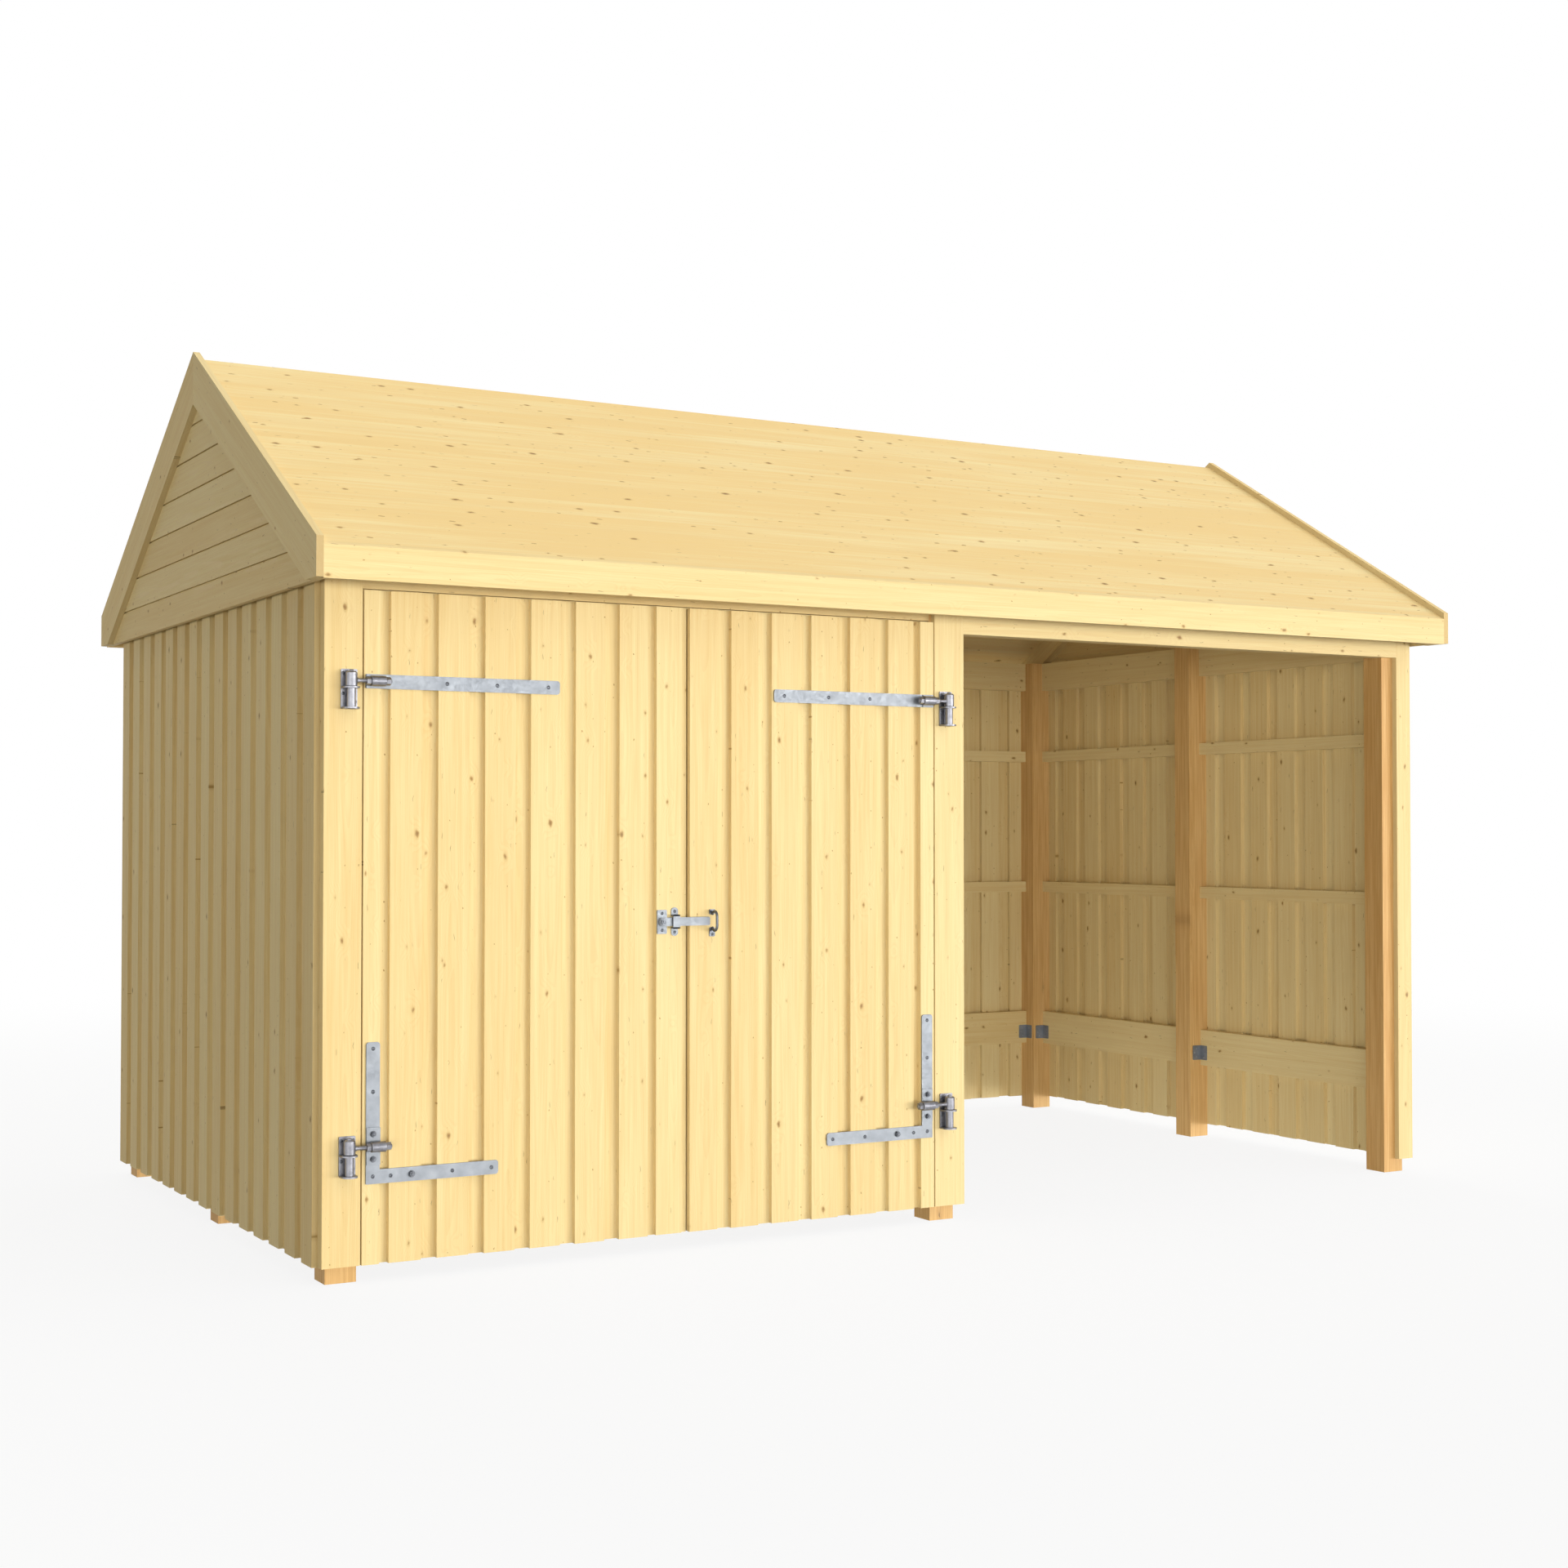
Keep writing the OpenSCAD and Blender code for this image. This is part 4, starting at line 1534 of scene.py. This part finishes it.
@dataclass
class Pintles:
    """The plates, lugs and pins that carry one leaf."""

    sizes: ShedSizes
    hinge: HingeSizes
    side: Side
    pin_x: float

    def build(self, steel: bpy.types.Material, screw: bpy.types.Material) -> None:
        """Build and dress the two pintles.

        Args:
            steel: The finish of plates, lugs and pins.
            screw: The finish of the screws.
        """
        stack, small, h = SteelStack(), SteelStack(), self.hinge
        for z in (h.strap_z, h.lower_z):
            face = frame_of((self.pin_x, self.sizes.front, z), (1, 0, 0), (0, -1, 0))
            half, (low, high) = h.plate_w / 2, h.plate
            plate = rounded(-half, half, low, high, [h.plate_r] * 4)
            stack.plate(plate, (0, h.strap_t), face)
            upper = h.eye[0] - 0.5
            for lug in (low, upper - h.lug_t):
                self.lug(stack, face, lug)
            pin = face @ Matrix.Translation((0, h.pin_stand, 0))
            tube, r = h.tube_r, h.pin_r
            stack.turned([(0, low), (tube, low), (tube, upper - 1), (0, upper - 1)], pin)
            tip = h.eye[1] + h.bevel + 3
            stack.turned(
                [(0, upper - 2), (r, upper - 2), (r, tip), (r - 1, tip + 2), (r - 3, tip + 3),
                 (0, tip + 3.4)],
                pin, steps=24,
            )
            for s, t in h.plate_screws:
                small.screw(s, h.strap_t, t, face, h.plate_screw_r)
        name = self.side.name.lower()
        nodes = [f"{name}_hinge_pintles"]
        stack.place(f"{name}_pintle_plates", steel, Body.SHED, Slot.STEEL, nodes)
        small.place(f"{name}_pintle_screws", screw, Body.SHED, Slot.STEEL, [])

    def lug(self, stack: SteelStack, face: Matrix, t: float) -> None:
        """Add one level lug with a round front.

        Args:
            stack: The mesh that takes it.
            face: The place of the plate.
            t: Its lower face above the rod.
        """
        h = self.hinge
        arc = [math.pi * k / 16 for k in range(17)]
        outline = [(h.lug_r, h.strap_t - 1), *[
            (h.lug_r * math.cos(a), h.pin_stand + h.lug_r * math.sin(a)) for a in arc
        ], (-h.lug_r, h.strap_t - 1)]
        level = face @ Matrix(((1, 0, 0, 0), (0, 0, 1, 0), (0, 1, 0, 0), (0, 0, 0, 1)))
        stack.plate(outline, (t, t + h.lug_t), level, bevel=0.7)


@dataclass
class SlideLatch:
    """Back plate and keeper on the left leaf, the sliding bar, and the staple on the right leaf."""

    sizes: ShedSizes
    z: float = 1036.0
    bar_x: float = -1077.0
    bar_l: float = 182.0
    bar_h: float = 27.0
    bar_t: float = 6.0
    plate: Point = (34.0, 76.0)
    plate_t: float = 5.0
    plate_r: float = 4.0
    plate_screw: float = 27.0
    screw_r: float = 5.0
    keeper_x: float = -1031.5
    keeper: Point = (24.0, 90.0)
    keeper_out: float = 18.0
    keeper_t: float = 3.0
    keeper_leg: float = 4.5
    keeper_room: float = 4.0
    keeper_screw: float = 12.0
    knob_r: float = 12.0
    knob_nut: float = 17.0
    staple_x: float = -896.5
    staple_h: float = 70.0
    staple_out: float = 36.0
    wire_r: float = 4.25
    bend: float = 17.0
    pad_w: float = 20.0
    pad_t: float = 3.0
    pad_r: float = 3.0
    pads: tuple[Span, ...] = ((-50.0, -21.0), (21.0, 37.0))
    pad_screw: float = 7.0
    pad_screw_r: float = 4.5

    def at(self, x: float) -> Matrix:
        """Return the place on the front face at x, level with the bar."""
        return frame_of((x, self.sizes.front, self.z), (1, 0, 0), (0, -1, 0))

    def build(self, steel: bpy.types.Material, screw: bpy.types.Material) -> None:
        """Build and dress the latch.

        Args:
            steel: The finish of the plates and the bar.
            screw: The finish of the screws, the knob's nut and the staple.
        """
        self.guides(steel, screw)
        self.bar(steel, screw)
        self.staple(screw)

    def guides(self, steel: bpy.types.Material, screw: bpy.types.Material) -> None:
        """Build the back plate and the keeper.

        Args:
            steel: The finish.
            screw: The finish of the screws.
        """
        stack, small = SteelStack(), SteelStack()
        at = self.at(self.bar_x)
        w, h = self.plate[0] / 2, self.plate[1] / 2
        stack.plate(rounded(-w, w, -h, h, [self.plate_r] * 4), (0, self.plate_t), at)
        for t in (-self.plate_screw, self.plate_screw):
            small.screw(0, self.plate_t, t, at, self.screw_r)
        at = self.at(self.keeper_x)
        w, h = self.keeper[0] / 2, self.keeper[1] / 2
        leg, inside = self.keeper_leg, self.bar_h / 2 + self.keeper_room
        thick, out = self.keeper_t, self.keeper_out
        for up in (-1, 1):
            ears = rounded(-w, w, inside, h, (0, 0, w - 1, w - 1))
            stack.plate([(s, up * t) for s, t in ears], (0, thick), at)
            rise = box(-w, w, inside, inside + leg)
            stack.plate([(s, up * t) for s, t in rise], (0, out), at)
            small.screw(0, thick, up * (h - self.keeper_screw), at, self.screw_r)
        bridge = box(-w, w, -inside - leg, inside + leg)
        stack.plate(bridge, (out - thick, out), at, bevel=1.3)
        stack.place("latch_plate_and_keeper", steel, Body.LEFT_DOOR, Slot.STEEL, ["latch_guides"])
        small.place("latch_screws", screw, Body.LEFT_DOOR, Slot.STEEL, [])

    def bar(self, steel: bpy.types.Material, screw: bpy.types.Material) -> None:
        """Build the bar with its round knob.

        Args:
            steel: The finish of the bar.
            screw: The finish of the knob's nut.
        """
        stack, small = SteelStack(), SteelStack()
        at = self.at(self.bar_x)
        r, end, low = self.bar_h / 2, self.bar_l - self.bar_h / 2, self.plate_t
        top, k = low + self.bar_t, self.knob_r
        stack.plate(rounded(-r, end, -r, r, (r - 0.5, 5, 5, r - 0.5)), (low, top), at)
        knob = [(0, top - 1), (k, top - 1), (k, top + 2.5), (k - 1, top + 3.5), (0, top + 3.5)]
        stack.turned(knob, at, Axis.N)
        small.plate(hexagon(self.knob_nut, turn=0.3), (top + 3.3, top + 8.0), at, bevel=1.0)
        stud = [(0, top + 3), (4, top + 3), (4, top + 9), (3, top + 10), (0, top + 10)]
        small.turned(stud, at, Axis.N, steps=16)
        stack.place("latch_slide_bar", steel, Body.LATCH, Slot.STEEL, ["latch_bar"])
        small.place("latch_knob_nut", screw, Body.LATCH, Slot.STEEL, [])

    def staple(self, steel: bpy.types.Material) -> None:
        """Build the bent staple on its two pads.

        Args:
            steel: The finish.
        """
        stack = SteelStack()
        at = self.at(self.staple_x)
        top, bend = self.staple_h / 2 - self.wire_r, self.bend
        path = []
        for turn in range(2, 17):
            a = math.pi / 16 * turn
            out = self.staple_out - bend - bend * math.cos(a)
            path.append(Vector((0, out, top - bend + bend * math.sin(a))))
        path += [Vector((0, p.y, -p.z)) for p in reversed(path)]
        stack.wire(path, self.wire_r, at)
        half = self.pad_w / 2
        for low, high in self.pads:
            pad = rounded(-half, half, low, high, [self.pad_r] * 4)
            stack.plate(pad, (0, self.pad_t), at)
        spot = self.pads[0][0] + self.pad_screw
        stack.screw(0, self.pad_t, spot, at, self.pad_screw_r)
        stack.place("latch_wire_staple", steel, Body.RIGHT_DOOR, Slot.STEEL, ["latch_staple"])


@dataclass(frozen=True)
class Lamp:
    """One distant lamp of a row round the shed.

    Attributes:
        turn: Degrees to the right of the front's normal.
        strength: Light on a surface that faces it.
        rise: Degrees above the horizon; a floor's glow comes from a little below it.
        soft: Its width in degrees.
    """

    turn: float
    strength: float
    rise: float = -2.0
    soft: float = 16.0

    def build(self, number: int, spared: bpy.types.Collection | None) -> None:
        """Hang the lamp.

        Args:
            number: Its number in the row.
            spared: The pieces that its light is kept off.
        """
        name = f"row_lamp_{number}"
        data = bpy.data.lights.new(name, "SUN")
        data.energy, data.angle = self.strength, math.radians(self.soft)
        lamp = bpy.data.objects.new(name, data)
        lamp.rotation_euler = (math.radians(90 - self.rise), 0, math.radians(self.turn))
        lamp.light_linking.receiver_collection = spared
        bpy.context.scene.collection.objects.link(lamp)


@dataclass
class Studio:
    """Pale floor, plain soft light and the camera of the photograph."""

    camera_m: tuple[float, float, float] = (-4.1727, -7.3941, 1.3210)
    yaw: float = 29.807
    tilt: float = 1.255
    lens: float = 50.05
    sensor: float = 36.0
    sky: Span = (0.0, 1.06)
    sky_from: tuple[float, float, float] = (0.48, -0.33, 0.81)
    sky_spread: Span = (0.2, 0.95)
    # These two are kept off the left gable
    left_lamps: tuple[Lamp, ...] = (Lamp(-28, 0.33), Lamp(-12, 0.24))
    # From the left round to the right; the last two stand behind the shed
    lamps: tuple[Lamp, ...] = (
        Lamp(-102, 0.24), Lamp(-60, 0.30), Lamp(-44, 0.33), Lamp(4, 0.26), Lamp(20, 0.44),
        Lamp(36, 0.70), Lamp(52, 0.70), Lamp(146, 0.80, 8.0), Lamp(170, 1.10, 14.0),
    )
    shaded: tuple[str, ...] = (
        "left_gable_boards", "left_gable_panel_boards", "left_front_barge_board",
        "left_back_barge_board",
    )
    floor: str = "#F4F3F0"
    floor_lit: str = "#686866"
    floor_r: float = 13.0
    fade_m: Span = (3.5, 11.0)
    fade_from: float = 0.88
    floor_glow: Span = (0.02, 0.33)
    bay_m: tuple[float, float, float] = (1.10, -0.30, 0.0)
    bay_reach_m: Span = (0.9, 1.6)

    def build(self) -> None:
        """Build the floor, the light and the camera."""
        self.build_floor()
        self.build_light()
        data = bpy.data.cameras.new("photo_camera")
        data.lens, data.sensor_width, data.clip_end = self.lens, self.sensor, 200.0
        camera = bpy.data.objects.new("photo_camera", data)
        camera.location = self.camera_m
        camera.rotation_euler = (math.radians(90 + self.tilt), 0, math.radians(-self.yaw))
        bpy.context.scene.collection.objects.link(camera)
        bpy.context.scene.camera = camera

    @staticmethod
    def seen(tree: bpy.types.NodeTree) -> bpy.types.Node:
        """Add the test for rays from the camera, from gloss and through glass.

        Args:
            tree: The tree that takes it.

        Returns:
            The node that gives one for such rays.
        """
        path = add_node(tree, "LightPath")
        shown = path.outputs["Is Camera Ray"]
        for other in ("Is Glossy Ray", "Is Transmission Ray"):
            shown = add_node(tree, "Math", {0: shown, 1: path.outputs[other]}, operation="MAXIMUM")
        return shown

    def build_floor(self) -> None:
        """Lay a round pale floor that keeps a soft shadow and fades to white."""
        shape = bmesh.new()
        bmesh.ops.create_circle(shape, cap_ends=True, segments=96, radius=self.floor_r)
        mesh = bpy.data.meshes.new("studio_floor")
        shape.to_mesh(mesh)
        shape.free()
        floor = bpy.data.objects.new("studio_floor", mesh)
        floor.location.z = -0.5 * MM
        floor.visible_shadow = False
        bpy.context.scene.collection.objects.link(floor)
        material, tree = new_tree("studio_floor_paint")
        node = partial(add_node, tree)
        smooth = {"interpolation_type": "SMOOTHSTEP"}
        place = node("TexCoord").outputs["Object"]
        far = node("VectorMath", {0: place}, operation="LENGTH").outputs["Value"]
        ends = dict(enumerate((*self.fade_m, self.fade_from, 1.0), 1))
        fade = node("MapRange", {0: far, **ends}, **smooth)
        # Light from below reaches into the bay, while the eye sees a white floor with a soft shadow
        seen = self.seen(tree)
        near = node("VectorMath", {0: place, 1: self.bay_m}, operation="DISTANCE").outputs["Value"]
        ends = dict(enumerate((*self.bay_reach_m, *reversed(self.floor_glow)), 1))
        glow = node("MapRange", {0: near, **ends}, **smooth)
        share = node("MapRange", {0: seen, 3: glow, 4: fade})
        paint = {0: seen, 6: linear(self.floor_lit), 7: linear(self.floor)}
        matt = node("BsdfDiffuse", {"Color": node("Mix", paint, data_type="RGBA").outputs[2]})
        white = node("Emission", {"Strength": 1.0})
        both = node("MixShader", {0: share, 1: matt, 2: white})
        node("OutputMaterial", {0: both})
        mesh.materials.append(material)

    def build_light(self) -> None:
        """Set a sky that is brightest high at the front right, the lamps and the plain view."""
        world = bpy.data.worlds.new("studio_sky")
        bpy.context.scene.world = world
        world.use_nodes = True
        tree = world.node_tree
        tree.nodes.clear()
        node = partial(add_node, tree)
        place = node("TexCoord").outputs["Generated"]
        toward = node("VectorMath", {0: place, 1: self.sky_from}, operation="DOT_PRODUCT")
        ends = dict(enumerate((*self.sky_spread, *self.sky), 1))
        level = node(
            "MapRange", {0: toward.outputs["Value"], **ends}, interpolation_type="SMOOTHSTEP"
        )
        white = (1, 1, 1, 1)
        dim = node("Background", {"Color": white, "Strength": level})
        shown = node("Background", {"Color": white, "Strength": 1.0})
        both = node("MixShader", {0: self.seen(tree), 1: dim, 2: shown})
        node("OutputWorld", {0: both})
        # The left gable lies in open shade: lamps at the front left would light its boards' edges
        spared = bpy.data.collections.new("left_gable_in_shade")
        for name in self.shaded:
            spared.objects.link(bpy.data.objects[name])
        for member in spared.collection_objects:
            member.light_linking.link_state = "EXCLUDE"
        for number, lamp in enumerate((*self.left_lamps, *self.lamps)):
            lamp.build(number, spared if lamp in self.left_lamps else None)
        bpy.context.scene.view_settings.view_transform = "Standard"


@dataclass
class GardenShed:
    """The whole shed."""

    sizes: ShedSizes = field(default_factory=ShedSizes)
    hinge: HingeSizes = field(default_factory=HingeSizes)
    left_edge: float = -2056.5
    right_edge: float = -43.5

    def build(self) -> None:
        """Build every sub-assembly in order."""
        spruce, larch = SPRUCE.build(), LARCH.build()
        strap, forged, screw = STRAP_ZINC.build(), FORGED_ZINC.build(), SCREW_ZINC.build()
        s, h = self.sizes, self.hinge
        PostFrame(s).build(larch)
        LappedWall.gable(s, Side.LEFT, 201).build(spruce)
        LappedWall.gable(s, Side.RIGHT, 202).build(spruce)
        LappedWall.back(s, 203).build(spruce)
        RailSet(s).build(spruce, strap)
        FrontTrims(s).build(spruce)
        SaddleRoof(s).build(spruce, ROOF_SPRUCE.build())
        for side, body, edge, seed in (
            (Side.LEFT, Body.LEFT_DOOR, self.left_edge, 301),
            (Side.RIGHT, Body.RIGHT_DOOR, self.right_edge, 311),
        ):
            DoorLeaf(s, h, side, body, edge, seed).build(spruce, strap, forged, screw)
            Pintles(s, h, side, edge + side.value * h.pin_out).build(forged, screw)
        SlideLatch(s).build(strap, screw)


def main() -> None:
    """Build the shed and the studio."""
    logging.basicConfig(level=logging.INFO, format="%(message)s")
    GardenShed().build()
    Studio().build()
    bpy.context.view_layer.update()


if __name__ == "__main__":
    main()
